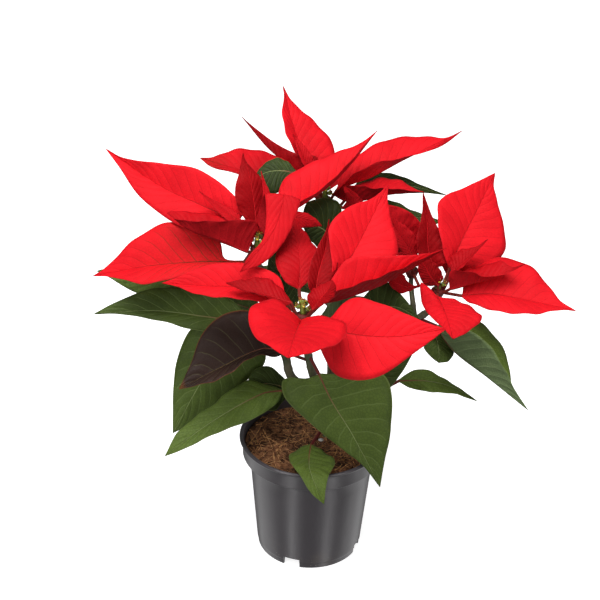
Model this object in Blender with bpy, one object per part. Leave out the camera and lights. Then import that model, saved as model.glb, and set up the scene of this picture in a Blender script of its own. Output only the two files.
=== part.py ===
"""A potted poinsettia: pot, soil, one branching stem, five flower heads and the green leaves.

The pot stands on its base with its axis on Z, and the viewer looks along +Y. Each leaf and bract is
set out as it is seen from one fixed viewpoint: a sighting is two picture coordinates and a depth in
mm behind the plant's middle plane, and spot() turns it into a point. Leaves that the viewpoint hides
are grown by a rule instead. All other sizes are in mm.
"""
import math

import bmesh
import bpy
from mathutils import Matrix, Vector

MM = 0.001
UP = Vector((0, 0, 1))

# The viewpoint: distance and height of the eye, where it looks, and the picture's scale.
VIEW_BACK = 1236.5
VIEW_HEIGHT = 941.8
VIEW_PITCH = math.radians(29.81)
VIEW_YAW = math.radians(-0.6)
VIEW_ROLL = math.radians(1.6)
PICTURE_FOCAL = 1800.0
PICTURE_CENTRE = 300.0
MIDDLE_HEIGHT = 250.0

# The pot: a 12 cm nursery pot with a rolled lip, a deep rim band and a notched foot.
POT_HEIGHT = 106.0
LIP_RADIUS = 60.0
BAND_RADIUS = 57.0
BAND_HEIGHT = 17.5
NECK_RADIUS = 50.9
FOOT_RADIUS = 42.8
POT_WALL = 1.5
FLOOR_RISE = 5.0
PAD_RADIUS = 13.0
NOTCH_COUNT = 4
NOTCH_WIDTH = 14.0
NOTCH_HEIGHT = 8.5
FIRST_NOTCH = math.radians(-18.5)
ROUND_SIDES = 36

# The soil fills the pot to just under the lip.
SOIL_TOP = 99.5
FIT_GAP = 0.3

# The stem: a trunk that forks just above the soil.
TRUNK_RADIUS = 5.2
TRUNK_FOOT = Vector((14, 8, 60))
TRUNK_FORK = Vector((12, 4, 130))
STEM_SIDES = 8

# Leaves, bracts and the knot of small flowers in the middle of each head.
BLADE_THICKNESS = 0.7
PETIOLE_WIDTH = 2.6
PETIOLE_THICKNESS = 2.4
MIDRIB_STAND_OUT = 1.4
HUB_RADIUS = 5.6
HUB_HEIGHT = 8.0
HUB_GAP = 1.0
NECK_RISE = 9.0
ROOT_DROP = 3.5
ROOT_OUT = 4.0
ROOT_GAP = 1.5
CUP_COUNT = 6
CUP_RADIUS = 1.8
KNOT_STALK = 7.5


def clear_scene():
    for thing in list(bpy.data.objects):
        bpy.data.objects.remove(thing)


def spot(across, down, depth):
    """The point seen at a picture position, so many mm behind the plant's middle plane."""
    forward = Vector((math.sin(VIEW_YAW) * math.cos(VIEW_PITCH),
                      math.cos(VIEW_YAW) * math.cos(VIEW_PITCH), -math.sin(VIEW_PITCH)))
    level = Vector((math.cos(VIEW_YAW), -math.sin(VIEW_YAW), 0))
    upright = level.cross(forward)
    picture_right = level * math.cos(VIEW_ROLL) + upright * math.sin(VIEW_ROLL)
    picture_up = upright * math.cos(VIEW_ROLL) - level * math.sin(VIEW_ROLL)
    eye = Vector((0, -VIEW_BACK, VIEW_HEIGHT))
    sight = (forward + picture_right * ((across - PICTURE_CENTRE) / PICTURE_FOCAL)
             + picture_up * ((PICTURE_CENTRE - down) / PICTURE_FOCAL))
    reach = (Vector((0, 0, MIDDLE_HEIGHT)) - eye).dot(forward) + depth
    return eye + sight * reach


def run(points, fractions):
    """Points at the given fractions of a smooth curve through the given points."""
    knots = [0.0]
    for start, end in zip(points, points[1:]):
        knots.append(knots[-1] + (end - start).length)
    last = len(points) - 1
    slopes = []
    for i in range(last + 1):
        low, high = max(i - 1, 0), min(i + 1, last)
        slopes.append((points[high] - points[low]) / (knots[high] - knots[low]))
    found = []
    for fraction in fractions:
        reach = fraction * knots[-1]
        i = max(k for k in range(last) if knots[k] <= reach + 1e-9)
        span = knots[i + 1] - knots[i]
        t = (reach - knots[i]) / span
        found.append(points[i] * (2 * t**3 - 3 * t**2 + 1) + slopes[i] * span * (t**3 - 2 * t**2 + t)
                     + points[i + 1] * (3 * t**2 - 2 * t**3) + slopes[i + 1] * span * (t**3 - t**2))
    return found


def material(name, colour, roughness):
    finish = bpy.data.materials.new(name)
    finish.use_nodes = True
    shader = finish.node_tree.nodes["Principled BSDF"]
    shader.inputs["Base Color"].default_value = (*colour, 1)
    shader.inputs["Roughness"].default_value = roughness
    return finish


def add_object(name, mesh_or_bm, finish):
    """Put a mesh in mm into the scene as an object in metres."""
    if isinstance(mesh_or_bm, bmesh.types.BMesh):
        mesh = bpy.data.meshes.new(name)
        mesh_or_bm.to_mesh(mesh)
        mesh_or_bm.free()
        mesh.transform(Matrix.Scale(MM, 4))
    else:
        mesh = mesh_or_bm
        mesh.name = name
    mesh.materials.clear()
    mesh.materials.append(finish)
    made = bpy.data.objects.new(name, mesh)
    bpy.context.scene.collection.objects.link(made)
    return made


def baked_mesh(thing):
    """The mesh that an object's modifiers make."""
    bpy.context.view_layer.update()
    graph = bpy.context.evaluated_depsgraph_get()
    return bpy.data.meshes.new_from_object(thing.evaluated_get(graph))


def main_body(mesh):
    """Drop the loose scraps that a union can leave, and keep the largest body."""
    bm = bmesh.new()
    bm.from_mesh(mesh)
    bmesh.ops.triangulate(bm, faces=bm.faces)
    left = set(bm.faces)
    bodies = []
    while left:
        reached = [left.pop()]
        for face in reached:
            for edge in face.edges:
                if len(edge.link_faces) == 2:
                    fresh = [other for other in edge.link_faces if other in left]
                    left.difference_update(fresh)
                    reached.extend(fresh)
        bodies.append(reached)
    bodies.sort(key=len)
    scraps = [face for body in bodies[:-1] for face in body]
    bmesh.ops.delete(bm, geom=scraps, context="FACES")
    bm.to_mesh(mesh)
    bm.free()


def grown_together(name, pieces, finish):
    """Join overlapping pieces into the one body that they grew as."""
    first, rest = pieces[0], pieces[1:]
    others = bpy.data.collections.new(name + "_pieces")
    bpy.context.scene.collection.children.link(others)
    for piece in rest:
        others.objects.link(piece)
    union = first.modifiers.new("union", "BOOLEAN")
    union.operation = "UNION"
    union.operand_type = "COLLECTION"
    union.collection = others
    union.solver = "EXACT"
    mesh = baked_mesh(first)
    main_body(mesh)
    for piece in pieces:
        bpy.data.objects.remove(piece)
    bpy.data.collections.remove(others)
    return add_object(name, mesh, finish)


def turned(profile, sides):
    """A closed body spun round Z from a profile of (radius, height) that starts and ends on the axis."""
    bm = bmesh.new()
    line = [bm.verts.new((radius, 0, height)) for radius, height in profile]
    edges = [bm.edges.new(pair) for pair in zip(line, line[1:])]
    bmesh.ops.spin(bm, geom=line + edges, cent=(0, 0, 0), axis=(0, 0, 1), angle=2 * math.pi,
                   steps=sides, use_merge=True)
    bmesh.ops.remove_doubles(bm, verts=bm.verts, dist=0.01)
    bmesh.ops.recalc_face_normals(bm, faces=bm.faces)
    return bm


def cut(body, tool):
    """Cut the tool out of the body and put the tool away."""
    slot = body.modifiers.new("cut", "BOOLEAN")
    slot.operation = "DIFFERENCE"
    slot.object = tool
    slot.solver = "EXACT"
    mesh = baked_mesh(body)
    body.modifiers.clear()
    body.data = mesh
    bpy.data.objects.remove(tool)


def body_radius(height):
    """The pot's outer radius below the rim band."""
    return FOOT_RADIUS + (NECK_RADIUS - FOOT_RADIUS) * height / (POT_HEIGHT - BAND_HEIGHT)


def build_pot(finish):
    neck = POT_HEIGHT - BAND_HEIGHT
    floor_top = FLOOR_RISE + POT_WALL
    profile = [
        (0, 0), (PAD_RADIUS, 0), (PAD_RADIUS + 1, FLOOR_RISE), (FOOT_RADIUS - 3.5, FLOOR_RISE),
        (FOOT_RADIUS - 2.5, 0), (FOOT_RADIUS - 0.5, 0), (FOOT_RADIUS, 0.5),
        (body_radius(5), 5), (body_radius(5) + 0.5, 5.6), (NECK_RADIUS, neck),
        (BAND_RADIUS - 0.6, neck + 0.3), (BAND_RADIUS, neck + 1), (BAND_RADIUS + 0.6, POT_HEIGHT - 3.4),
        (LIP_RADIUS - 0.7, POT_HEIGHT - 3), (LIP_RADIUS, POT_HEIGHT - 1.6), (LIP_RADIUS - 0.8, POT_HEIGHT - 0.3),
        (LIP_RADIUS - 2, POT_HEIGHT), (BAND_RADIUS - 0.9, POT_HEIGHT - 1.5), (BAND_RADIUS - POT_WALL, neck + 3),
        (NECK_RADIUS - POT_WALL, neck - 0.5), (body_radius(floor_top) - POT_WALL, floor_top), (0, floor_top)]
    pot = add_object("pot", turned(profile, ROUND_SIDES), finish)

    bm = bmesh.new()
    for k in range(NOTCH_COUNT):
        turn = FIRST_NOTCH + k * 2 * math.pi / NOTCH_COUNT
        made = bmesh.ops.create_cube(bm, size=1)["verts"]
        place = (Matrix.Rotation(turn, 4, "Z") @ Matrix.Translation((0, -FOOT_RADIUS, NOTCH_HEIGHT / 2 - 1))
                 @ Matrix.Diagonal((NOTCH_WIDTH, 9, NOTCH_HEIGHT + 2, 1)))
        bmesh.ops.transform(bm, matrix=place, verts=made)
    cut(pot, add_object("notches", bm, finish))
    return pot


def soil_height(radius, turn):
    """A slightly mounded, uneven soil surface."""
    bumps = math.sin(3 * turn + radius / 9) + 0.7 * math.sin(5 * turn - radius / 6 + 1)
    return SOIL_TOP - 0.0006 * radius**2 + 0.7 * bumps * min(radius / 20, 1)


def build_soil(finish, trunk_foot):
    neck = POT_HEIGHT - BAND_HEIGHT
    floor_top = FLOOR_RISE + POT_WALL + FIT_GAP
    wall = POT_WALL + FIT_GAP
    rim = BAND_RADIUS - wall
    rings = [(radius, SOIL_TOP) for radius in (10, 20, 30, 40, 48)]
    profile = [(0, SOIL_TOP)] + rings + [
        (rim, SOIL_TOP - 1.5), (rim, neck + 3.3), (NECK_RADIUS - wall, neck - 0.2),
        (body_radius(floor_top) - wall, floor_top), (0, floor_top)]
    bm = turned(profile, ROUND_SIDES)
    for vert in bm.verts:
        radius = math.hypot(vert.co.x, vert.co.y)
        if vert.co.z > SOIL_TOP - 2 and radius < rim - 1:
            vert.co.z = soil_height(radius, math.atan2(vert.co.y, vert.co.x))
    soil = add_object("soil", bm, finish)

    bm = bmesh.new()
    hole_radius = TRUNK_RADIUS + 1.2
    hole_foot = trunk_foot - UP * (2 * FIT_GAP)
    bmesh.ops.create_cone(bm, cap_ends=True, segments=16, radius1=hole_radius, radius2=hole_radius,
                          depth=POT_HEIGHT, matrix=Matrix.Translation(hole_foot + UP * (POT_HEIGHT / 2)))
    cut(soil, add_object("stem_hole", bm, finish))
    return soil


# Flower head centres, as sightings.
HEAD_LEFT = spot(257, 246, -15)
HEAD_FRONT = spot(303, 313, -55)
HEAD_BACK = spot(325, 197, 35)
HEAD_INNER = spot(412, 268, 25)
HEAD_RIGHT = spot(438, 288, 5)
HEADS = {"left": HEAD_LEFT, "front": HEAD_FRONT, "back": HEAD_BACK, "inner": HEAD_INNER, "right": HEAD_RIGHT}


def under_head(head):
    """The last two points of a limb, straight below a head's hub."""
    end = HEADS[head] - UP * (HUB_HEIGHT + HUB_GAP)
    return [end - UP * NECK_RISE, end]


# The limbs of the stem: points from root to end, then the radius at each end.
LIMBS = {
    "trunk": ([TRUNK_FOOT, Vector((14, 8, 98)), TRUNK_FORK, Vector((11, 2, 138))], TRUNK_RADIUS, 4.4),
    "left": ([TRUNK_FORK, Vector((-3, 1, 145)), Vector((-18.5, 0, 162)), Vector((-23, 0, 180)),
              Vector((-40, 2, 252)), *under_head("left")], 3.9, 2.8),
    "front": ([TRUNK_FORK, Vector((6, -3, 150)), Vector((-0.7, -8, 168.7)), Vector((-5.3, -15, 193.6)),
               Vector((-9, -44, 230)), *under_head("front")], 3.7, 2.6),
    "back": ([TRUNK_FORK, Vector((14, 12, 158)), Vector((11, 38, 220)), Vector((6, 58, 262)),
              *under_head("back")], 3.6, 2.6),
    "right": ([TRUNK_FORK, Vector((28, 6, 156)), Vector((55, 9, 189)), Vector((80, 8, 214)),
               *under_head("right")], 3.7, 2.6),
    "inner": ([Vector((79.5, 8, 213.5)), spot(413, 304, 29), *under_head("inner")], 2.4, 1.8),
}


def limb_piece(name, points, start_radius, end_radius, finish):
    """One round, tapering length of stem."""
    curve = bpy.data.curves.new(name, "CURVE")
    curve.dimensions = "3D"
    curve.bevel_depth = MM
    curve.bevel_resolution = STEM_SIDES // 4
    curve.use_fill_caps = True
    steps = 2 * (len(points) - 1)
    line = curve.splines.new("POLY")
    line.points.add(steps)
    for k, point in enumerate(run(points, [k / steps for k in range(steps + 1)])):
        line.points[k].co = (*(point * MM), 1)
        line.points[k].radius = start_radius + (end_radius - start_radius) * k / steps
    holder = bpy.data.objects.new(name, curve)
    bpy.context.scene.collection.objects.link(holder)
    mesh = baked_mesh(holder)
    bpy.data.objects.remove(holder)
    return add_object(name, mesh, finish)


def build_stem(finish):
    pieces = [limb_piece("limb_" + key, *limb, finish) for key, limb in LIMBS.items()]
    return grown_together("stem", pieces, finish)


def on_limb(limb, fraction, toward):
    """A root just off the surface of a limb, on the side that faces a point."""
    points, start_radius, end_radius = LIMBS[limb]
    here, ahead = run(points, [fraction, min(fraction + 0.02, 1)])
    if fraction > 0.98:
        ahead, here = here, run(points, [fraction - 0.02])[0]
    along = (ahead - here).normalized()
    out = toward - here
    out = (out - along * out.dot(along)).normalized()
    radius = start_radius + (end_radius - start_radius) * fraction
    return here + out * (radius + ROOT_GAP)


def blade(root, base, rib, tip, left, right, fine=True):
    """A leaf or bract from sightings: root point, foot of the blade, midrib, tip and the two edges.

    Left and right are as seen from the root, with the upper face up.
    """
    return {"root": root, "base": spot(*base), "rib": [spot(*p) for p in rib], "tip": spot(*tip),
            "left": [spot(*p) for p in left], "right": [spot(*p) for p in right], "fine": fine}


def spread(root, heading, rise, length, width, droop, fold=0.25, fine=True):
    """A leaf or bract that the viewpoint hides. Heading 0 points at the viewer, 90 to the right."""
    turn = math.radians(heading)
    forward = Vector((math.sin(turn), -math.cos(turn), 0))
    leftward = UP.cross(forward)
    climb = math.radians(rise)

    def path(u):
        return root + forward * (length * u * math.cos(climb)) + UP * length * (u * math.sin(climb) - droop * u * u)

    half = width / 2
    widths = {0.3: 0.72, 0.48: 1.0, 0.66: 0.78, 0.84: 0.34}
    edges = {}
    for name, sign in (("left", 1), ("right", -1)):
        edges[name] = [path(u) + leftward * (sign * half * w) + UP * (fold * half * w) for u, w in widths.items()]
    return {"root": root, "base": path(0.16), "rib": [path(0.4), path(0.7)], "tip": path(1),
            "left": edges["left"], "right": edges["right"], "fine": fine}


def sideways(first, second, along):
    """The unit direction from second to first, square to a run direction."""
    across = first - second
    return (across - along * across.dot(along)).normalized()


def blade_rows(leaf, stalk_steps, blade_steps):
    """The midrib, left edge and right edge of each row across a leaf, and how much of a stalk it is."""
    base, tip, rib = leaf["base"], leaf["tip"], leaf["rib"]
    base_along = (rib[0] - leaf["root"]).normalized()
    tip_along = (tip - rib[-1]).normalized()
    base_side = sideways(leaf["left"][0], leaf["right"][0], base_along)
    tip_side = sideways(leaf["left"][-1], leaf["right"][-1], tip_along)
    half_stalk = PETIOLE_WIDTH / 2

    rows = []
    for k in range(stalk_steps):
        middle = leaf["root"].lerp(base, k / stalk_steps)
        rows.append((middle, middle + base_side * half_stalk, middle - base_side * half_stalk, 1.0))

    fractions = [(k / blade_steps) ** 1.15 for k in range(blade_steps + 1)]
    ribs = run([base] + rib + [tip], fractions)
    lefts = run([base + base_side * half_stalk] + leaf["left"] + [tip + tip_side * 0.5], fractions)
    rights = run([base - base_side * half_stalk] + leaf["right"] + [tip - tip_side * 0.5], fractions)
    for u, middle, left, right in zip(fractions, ribs, lefts, rights):
        rows.append((middle, left, right, 0.8 if u == 0 else 0))
    return rows


def on_surface(rows, row, across):
    """A point of a leaf's middle surface. Across runs from -1 at the right edge to 1 at the left one."""
    middle, left, right, _ = rows[row]
    edge = left if across >= 0 else right
    share = abs(across)
    bow = 0.22 * share * (1 - share) * (edge - middle).length
    return middle.lerp(edge, share) + UP * bow


def surface_normals(flat, rows, place):
    """The normal of a leaf's middle surface at each vertex of its flat grid."""
    shaped = flat.copy()
    for vert in shaped.verts:
        vert.co = on_surface(rows, *place[vert.index])
    shaped.normal_update()
    normals = [vert.normal.copy() for vert in shaped.verts]
    shaped.free()
    return normals


def leaf_solid(name, leaf, finish):
    """A closed thin solid on a leaf's rows, with a stalk and a midrib that stands out below."""
    stalk_steps, blade_steps, half_columns = (2, 7, 2) if leaf["fine"] else (1, 6, 1)
    rows = blade_rows(leaf, stalk_steps, blade_steps)
    row_count = len(rows) - 1

    bm = bmesh.new()
    bmesh.ops.create_grid(bm, x_segments=row_count, y_segments=2 * half_columns, size=1)
    bmesh.ops.triangulate(bm, faces=bm.faces, quad_method="FIXED")
    bm.verts.index_update()
    home = bm.verts.layers.int.new("home")
    place = []
    for vert in bm.verts:
        vert[home] = vert.index
        place.append((round((vert.co.x + 1) / 2 * row_count), vert.co.y))
    normals = surface_normals(bm, rows, place)

    top = bmesh.ops.extrude_face_region(bm, geom=list(bm.faces), use_keep_orig=True)["geom"]
    lifted = {thing for thing in top if isinstance(thing, bmesh.types.BMVert)}
    bmesh.ops.translate(bm, verts=list(lifted), vec=UP)
    bmesh.ops.recalc_face_normals(bm, faces=bm.faces)
    for vert in bm.verts:
        row, across = place[vert[home]]
        side = 1 if vert in lifted else -1
        round_off = math.sqrt(1 - 0.7 * across * across)
        thickness = BLADE_THICKNESS + (PETIOLE_THICKNESS * round_off - BLADE_THICKNESS) * rows[row][3]
        if abs(across) < 0.01 and side < 0 and row > stalk_steps:
            thickness += MIDRIB_STAND_OUT * (1 - row / row_count)
        vert.co = on_surface(rows, row, across) + normals[vert[home]] * (side * thickness / 2)
    return add_object(name, bm, finish)


def hub_root(head, toward):
    """A root inside the hub of a head, on the side that faces a point."""
    out = toward - HEADS[head]
    out.z = 0
    return HEADS[head] - UP * ROOT_DROP + out.normalized() * ROOT_OUT


def bract(head, *sightings, fine=True):
    """A bract whose stalk starts in the hub of its head."""
    made = blade(Vector((0, 0, 0)), *sightings, fine=fine)
    made["root"] = hub_root(head, made["base"])
    return made


def hidden_bract(head, heading, rise, length, width, droop, fine=False):
    turn = math.radians(heading)
    toward = HEADS[head] + Vector((math.sin(turn), -math.cos(turn), 0))
    return spread(hub_root(head, toward), heading, rise, length, width, droop, fine=fine)


# Bracts of each head: base, midrib, tip, left edge, right edge.
BRACTS = {
    "left": [
        bract("left", (238, 222, -10), [(205, 207, -2), (160, 186, 8)], (106, 149, 20),
              [(222, 236, -14), (180, 226, -6), (140, 197, 4), (119, 167, 14)],
              [(243, 214, -11), (238, 199, -11), (200, 170, -4), (160, 163, 4), (124, 158, 14)]),
        bract("left", (248, 252, -20), [(218, 240, -22), (190, 230, -24)], (167, 213, -24),
              [(257, 222, -27), (220, 221, -28), (192, 221, -28), (175, 219, -26)],
              [(238, 219, -12), (215, 214, -12), (190, 212, -16), (173, 211, -21)]),
        bract("left", (242, 224, -15), [(226, 212, -14), (212, 201, -13)], (199, 191, -12),
              [(232, 224, -17), (218, 212, -16), (207, 200, -14)],
              [(237, 213, -13), (222, 204, -12), (208, 197, -12)], fine=False),
        bract("left", (244, 262, -12), [(222, 262, -9), (200, 262, -8), (150, 266, -2)], (93, 276, 6),
              [(224, 264, -12), (212, 265, -14), (180, 276, -18), (145, 284, -16), (112, 277, -4)],
              [(224, 258, -9), (219, 240, -8), (172, 222, -2), (135, 239, 4), (105, 268, 6)]),
        bract("left", (267, 236, -27), [(272, 212, -29), (284, 195, -37), (273, 232, -45)], (240, 272, -50),
              [(274, 236, -29), (286, 211, -31), (300, 200, -38), (287, 237, -45), (265, 262, -49)],
              [(257, 225, -25), (260, 206, -29), (265, 194, -38), (264, 236, -45), (248, 257, -49)]),
        bract("left", (257, 238, -12), [(254, 204, -12), (249, 175, -12)], (243, 153, -8),
              [(248, 224, -13), (237, 206, -15), (235, 189, -15), (239, 172, -12)],
              [(265, 228, -9), (267, 204, -6), (260, 177, -8), (247, 163, -8)]),
        bract("left", (277, 218, -6), [(305, 203, 0), (340, 176, 6)], (377, 131, 14),
              [(281, 184, 2), (297, 170, 8), (330, 155, 14), (362, 142, 14)],
              [(292, 207, -6), (320, 190, -3), (346, 166, 2), (365, 144, 10)]),
        bract("left", (277, 228, -8), [(292, 219, -4), (307, 220, 0)], (322, 226, 2),
              [(288, 213, -4), (303, 212, 0), (315, 218, 2)],
              [(290, 230, -6), (303, 228, -1), (314, 227, 2)], fine=False),
        bract("left", (266, 222, -16), [(267, 203, -20), (265, 188, -19)], (261, 171, -18),
              [(262, 208, -20), (263, 193, -20), (262, 181, -18)],
              [(272, 208, -18), (270, 193, -18), (265, 181, -18)], fine=False),
    ],
    "front": [
        bract("front", (286, 303, -50), [(250, 289, -44), (205, 286, -38)], (162, 283, -34),
              [(272, 304, -54), (240, 299, -54), (200, 295, -46), (175, 286, -38)],
              [(278, 276, -46), (240, 263, -40), (205, 266, -36), (178, 277, -35)]),
        bract("front", (291, 303, -60), [(272, 297, -60), (246, 291, -58)], (226, 283, -56),
              [(283, 306, -64), (265, 296, -66), (245, 291, -62)],
              [(284, 291, -54), (266, 278, -52), (240, 280, -54)]),
        bract("front", (301, 321, -66), [(296, 332, -98), (292, 344, -128)], (288, 358, -152),
              [(308, 317, -70), (330, 317, -80), (347, 326, -96), (340, 342, -118), (310, 353, -140)],
              [(293, 312, -70), (273, 299, -78), (250, 309, -92), (253, 334, -114), (275, 350, -138)]),
        bract("front", (299, 289, -47), [(300, 262, -40), (296, 237, -26)], (290, 214, -13),
              [(286, 282, -50), (276, 264, -43), (279, 242, -29), (284, 226, -18)],
              [(308, 281, -46), (318, 255, -34), (308, 236, -22), (297, 222, -15)]),
        bract("front", (320, 326, -68), [(350, 334, -78), (395, 337, -86)], (446, 329, -92),
              [(332, 316, -68), (352, 298, -72), (385, 305, -80), (425, 322, -89)],
              [(320, 348, -74), (338, 376, -80), (375, 378, -88), (420, 349, -92)]),
        bract("front", (322, 303, -57), [(352, 296, -50), (386, 283, -42)], (446, 248, -34),
              [(333, 277, -52), (350, 258, -50), (392, 256, -46), (430, 253, -38)],
              [(336, 292, -62), (358, 284, -60), (392, 272, -54), (428, 256, -40)]),
        bract("front", (332, 284, -46), [(350, 259, -38), (370, 221, -26)], (388, 185, -14),
              [(332, 262, -46), (329, 228, -40), (345, 209, -32), (374, 197, -20)],
              [(366, 277, -44), (397, 256, -36), (393, 226, -26), (388, 203, -18)]),
        bract("front", (315, 296, -51), [(318, 275, -47), (325, 250, -38)], (329, 219, -28),
              [(308, 285, -54), (310, 264, -48), (319, 244, -40), (326, 230, -32)],
              [(328, 285, -50), (338, 265, -44), (333, 243, -36), (330, 230, -31)]),
        bract("front", (313, 309, -66), [(320, 299, -69), (328, 289, -69)], (332, 280, -67),
              [(307, 298, -66), (313, 289, -64), (325, 283, -64)],
              [(323, 305, -67), (334, 297, -66), (336, 286, -66)], fine=False),
    ],
    "back": [
        bract("back", (318, 180, 37), [(302, 150, 42), (292, 122, 48)], (283, 86, 56),
              [(300, 160, 36), (287, 136, 36), (282, 112, 44), (284, 96, 52)],
              [(334, 158, 44), (332, 142, 48), (313, 120, 52), (292, 101, 54)]),
        bract("back", (308, 184, 34), [(288, 166, 36), (266, 146, 42)], (242, 117, 50),
              [(300, 166, 48), (284, 152, 52), (262, 137, 52), (250, 126, 51)],
              [(318, 158, 30), (298, 154, 32), (277, 144, 38), (254, 127, 46)]),
        bract("back", (300, 183, 28), [(268, 177, 24), (236, 169, 22)], (200, 158, 22),
              [(284, 187, 27), (256, 179, 23), (230, 172, 20), (211, 167, 20)],
              [(284, 160, 36), (262, 151, 36), (236, 149, 32), (213, 157, 25)]),
        bract("back", (337, 190, 33), [(352, 183, 33), (370, 177, 34), (405, 159, 40)], (462, 131, 54),
              [(341, 176, 36), (349, 164, 38), (362, 152, 44), (386, 140, 50), (420, 136, 54), (446, 138, 55)],
              [(346, 182, 27), (356, 173, 24), (376, 163, 26), (402, 158, 34), (440, 147, 49)]),
        bract("back", (334, 194, 31), [(347, 200, 28), (366, 199, 26), (390, 194, 24)], (424, 192, 22),
              [(344, 190, 35), (358, 185, 38), (378, 178, 40), (402, 181, 34), (415, 189, 26)],
              [(343, 187, 22), (356, 185, 18), (374, 188, 14), (398, 189, 18), (412, 191, 20)]),
        bract("back", (312, 172, 32), [(304, 158, 30), (299, 147, 30)], (293, 134, 32),
              [(303, 164, 28), (298, 152, 28), (295, 142, 30)],
              [(314, 160, 30), (308, 150, 30), (300, 141, 31)], fine=False),
        bract("back", (343, 208, 29), [(353, 204, 21), (353, 196, 15)], (344, 186, 12),
              [(346, 202, 24), (347, 196, 16), (344, 191, 12)],
              [(356, 209, 24), (363, 202, 17), (354, 192, 12)], fine=False),
        hidden_bract("back", 182, 0, 84, 40, 0.14, fine=True),
    ],
    "inner": [
        bract("inner", (408, 250, 29), [(404, 236, 23), (392, 221, 17)], (376, 203, 11),
              [(396, 252, 25), (388, 239, 18), (378, 220, 12)],
              [(424, 247, 27), (421, 224, 22), (404, 209, 17)]),
        bract("inner", (414, 258, 11), [(405, 243, 7), (397, 231, 5)], (388, 216, 2),
              [(404, 254, 8), (396, 242, 4), (391, 228, 2)],
              [(420, 248, 9), (413, 233, 6), (401, 223, 4)], fine=False),
        bract("inner", (419, 286, 16), [(407, 287, 4), (396, 283, -4)], (384, 274, -8),
              [(410, 291, -2), (400, 293, -8), (391, 286, -10)],
              [(410, 284, 12), (403, 275, 7), (393, 270, 0)], fine=False),
        hidden_bract("inner", 190, 8, 80, 38, 0.14, fine=True),
    ],
    "right": [
        bract("right", (450, 268, 8), [(462, 240, 14), (478, 208, 24)], (495, 173, 34),
              [(444, 254, 4), (438, 222, 6), (440, 200, 14), (470, 185, 26)],
              [(482, 272, 10), (505, 250, 18), (501, 214, 26), (494, 188, 32)]),
        bract("right", (462, 296, 2), [(490, 294, -4), (530, 301, -10)], (576, 311, -16),
              [(466, 276, 8), (492, 258, 12), (530, 266, 6), (560, 300, -10)],
              [(470, 303, -8), (500, 312, -22), (535, 314, -24), (562, 310, -18)]),
        bract("right", (450, 289, -2), [(468, 284, -6), (492, 278, -10)], (525, 264, -14),
              [(456, 268, 4), (478, 267, 4), (500, 261, -4), (513, 267, -11)],
              [(450, 272, -12), (466, 271, -16), (488, 277, -15), (508, 273, -14)]),
        bract("right", (437, 297, -16), [(443, 308, -32), (448, 321, -48)], (453, 339, -64),
              [(448, 298, -18), (466, 304, -28), (482, 318, -44), (466, 333, -58)],
              [(422, 282, -10), (421, 300, -22), (429, 315, -38), (443, 328, -54)]),
        bract("right", (452, 272, 0), [(464, 262, -2), (475, 252, -3)], (488, 239, -4),
              [(449, 261, 4), (460, 250, 3), (475, 247, 0)],
              [(459, 270, -5), (470, 260, -6), (480, 248, -5)], fine=False),
        bract("right", (434, 268, 11), [(428, 248, 10), (427, 222, 10)], (423, 192, 14),
              [(422, 264, 7), (417, 240, 4), (422, 213, 9)],
              [(446, 264, 8), (443, 240, 8), (431, 213, 9)]),
        bract("right", (438, 285, -2), [(431, 277, -8), (426, 268, -10)], (420, 258, -12),
              [(425, 285, -6), (418, 271, -10)],
              [(443, 277, -4), (436, 264, -8)], fine=False),
        hidden_bract("right", 148, 14, 92, 42, 0.14, fine=True),
    ],
}


def build_bracts(head, finish):
    """A head's bracts, grown together on a short round hub."""
    bm = bmesh.new()
    middle = HEADS[head] - UP * (HUB_HEIGHT / 2)
    bmesh.ops.create_cone(bm, cap_ends=True, segments=12, radius1=HUB_RADIUS * 0.8, radius2=HUB_RADIUS,
                          depth=HUB_HEIGHT, matrix=Matrix.Translation(middle))
    pieces = [add_object("hub_" + head, bm, finish)]
    for number, leaf in enumerate(BRACTS[head]):
        pieces.append(leaf_solid(f"bract_{head}_{number}", leaf, finish))
    return grown_together("bracts_" + head, pieces, finish)


def build_cyathia(head, finish):
    """The knot of small green flower cups in the middle of a head, on a low base."""
    centre = HEADS[head] + UP * FIT_GAP
    bm = bmesh.new()
    bmesh.ops.create_cone(bm, cap_ends=True, segments=10, radius1=2.5, radius2=1.6, depth=KNOT_STALK,
                          matrix=Matrix.Translation(centre + UP * (KNOT_STALK / 2)))
    pieces = [add_object("base_" + head, bm, finish)]
    for k in range(CUP_COUNT):
        turn = k * math.radians(137.5)
        out = 1.1 * math.sqrt(k)
        place = centre + Vector((out * math.cos(turn), out * math.sin(turn), KNOT_STALK + 3 - 0.8 * k))
        bm = bmesh.new()
        bmesh.ops.create_uvsphere(bm, u_segments=6, v_segments=4, radius=CUP_RADIUS,
                                  matrix=Matrix.Translation(place) @ Matrix.Diagonal((1, 1, 1.4, 1)))
        pieces.append(add_object(f"cup_{head}_{k}", bm, finish))
    return grown_together("cyathia_" + head, pieces, finish)


def leaf(limb, fraction, *sightings, fine=True):
    """A green leaf whose stalk starts at a limb."""
    made = blade(Vector((0, 0, 0)), *sightings, fine=fine)
    made["root"] = on_limb(limb, fraction, made["base"])
    return made


def hidden_leaf(limb, fraction, heading, rise, length, width, droop, fine=False):
    turn = math.radians(heading)
    toward = run(LIMBS[limb][0], [fraction])[0] + Vector((math.sin(turn), -math.cos(turn), 0)) * 50
    return spread(on_limb(limb, fraction, toward), heading, rise, length, width, droop, fine=fine)


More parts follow.
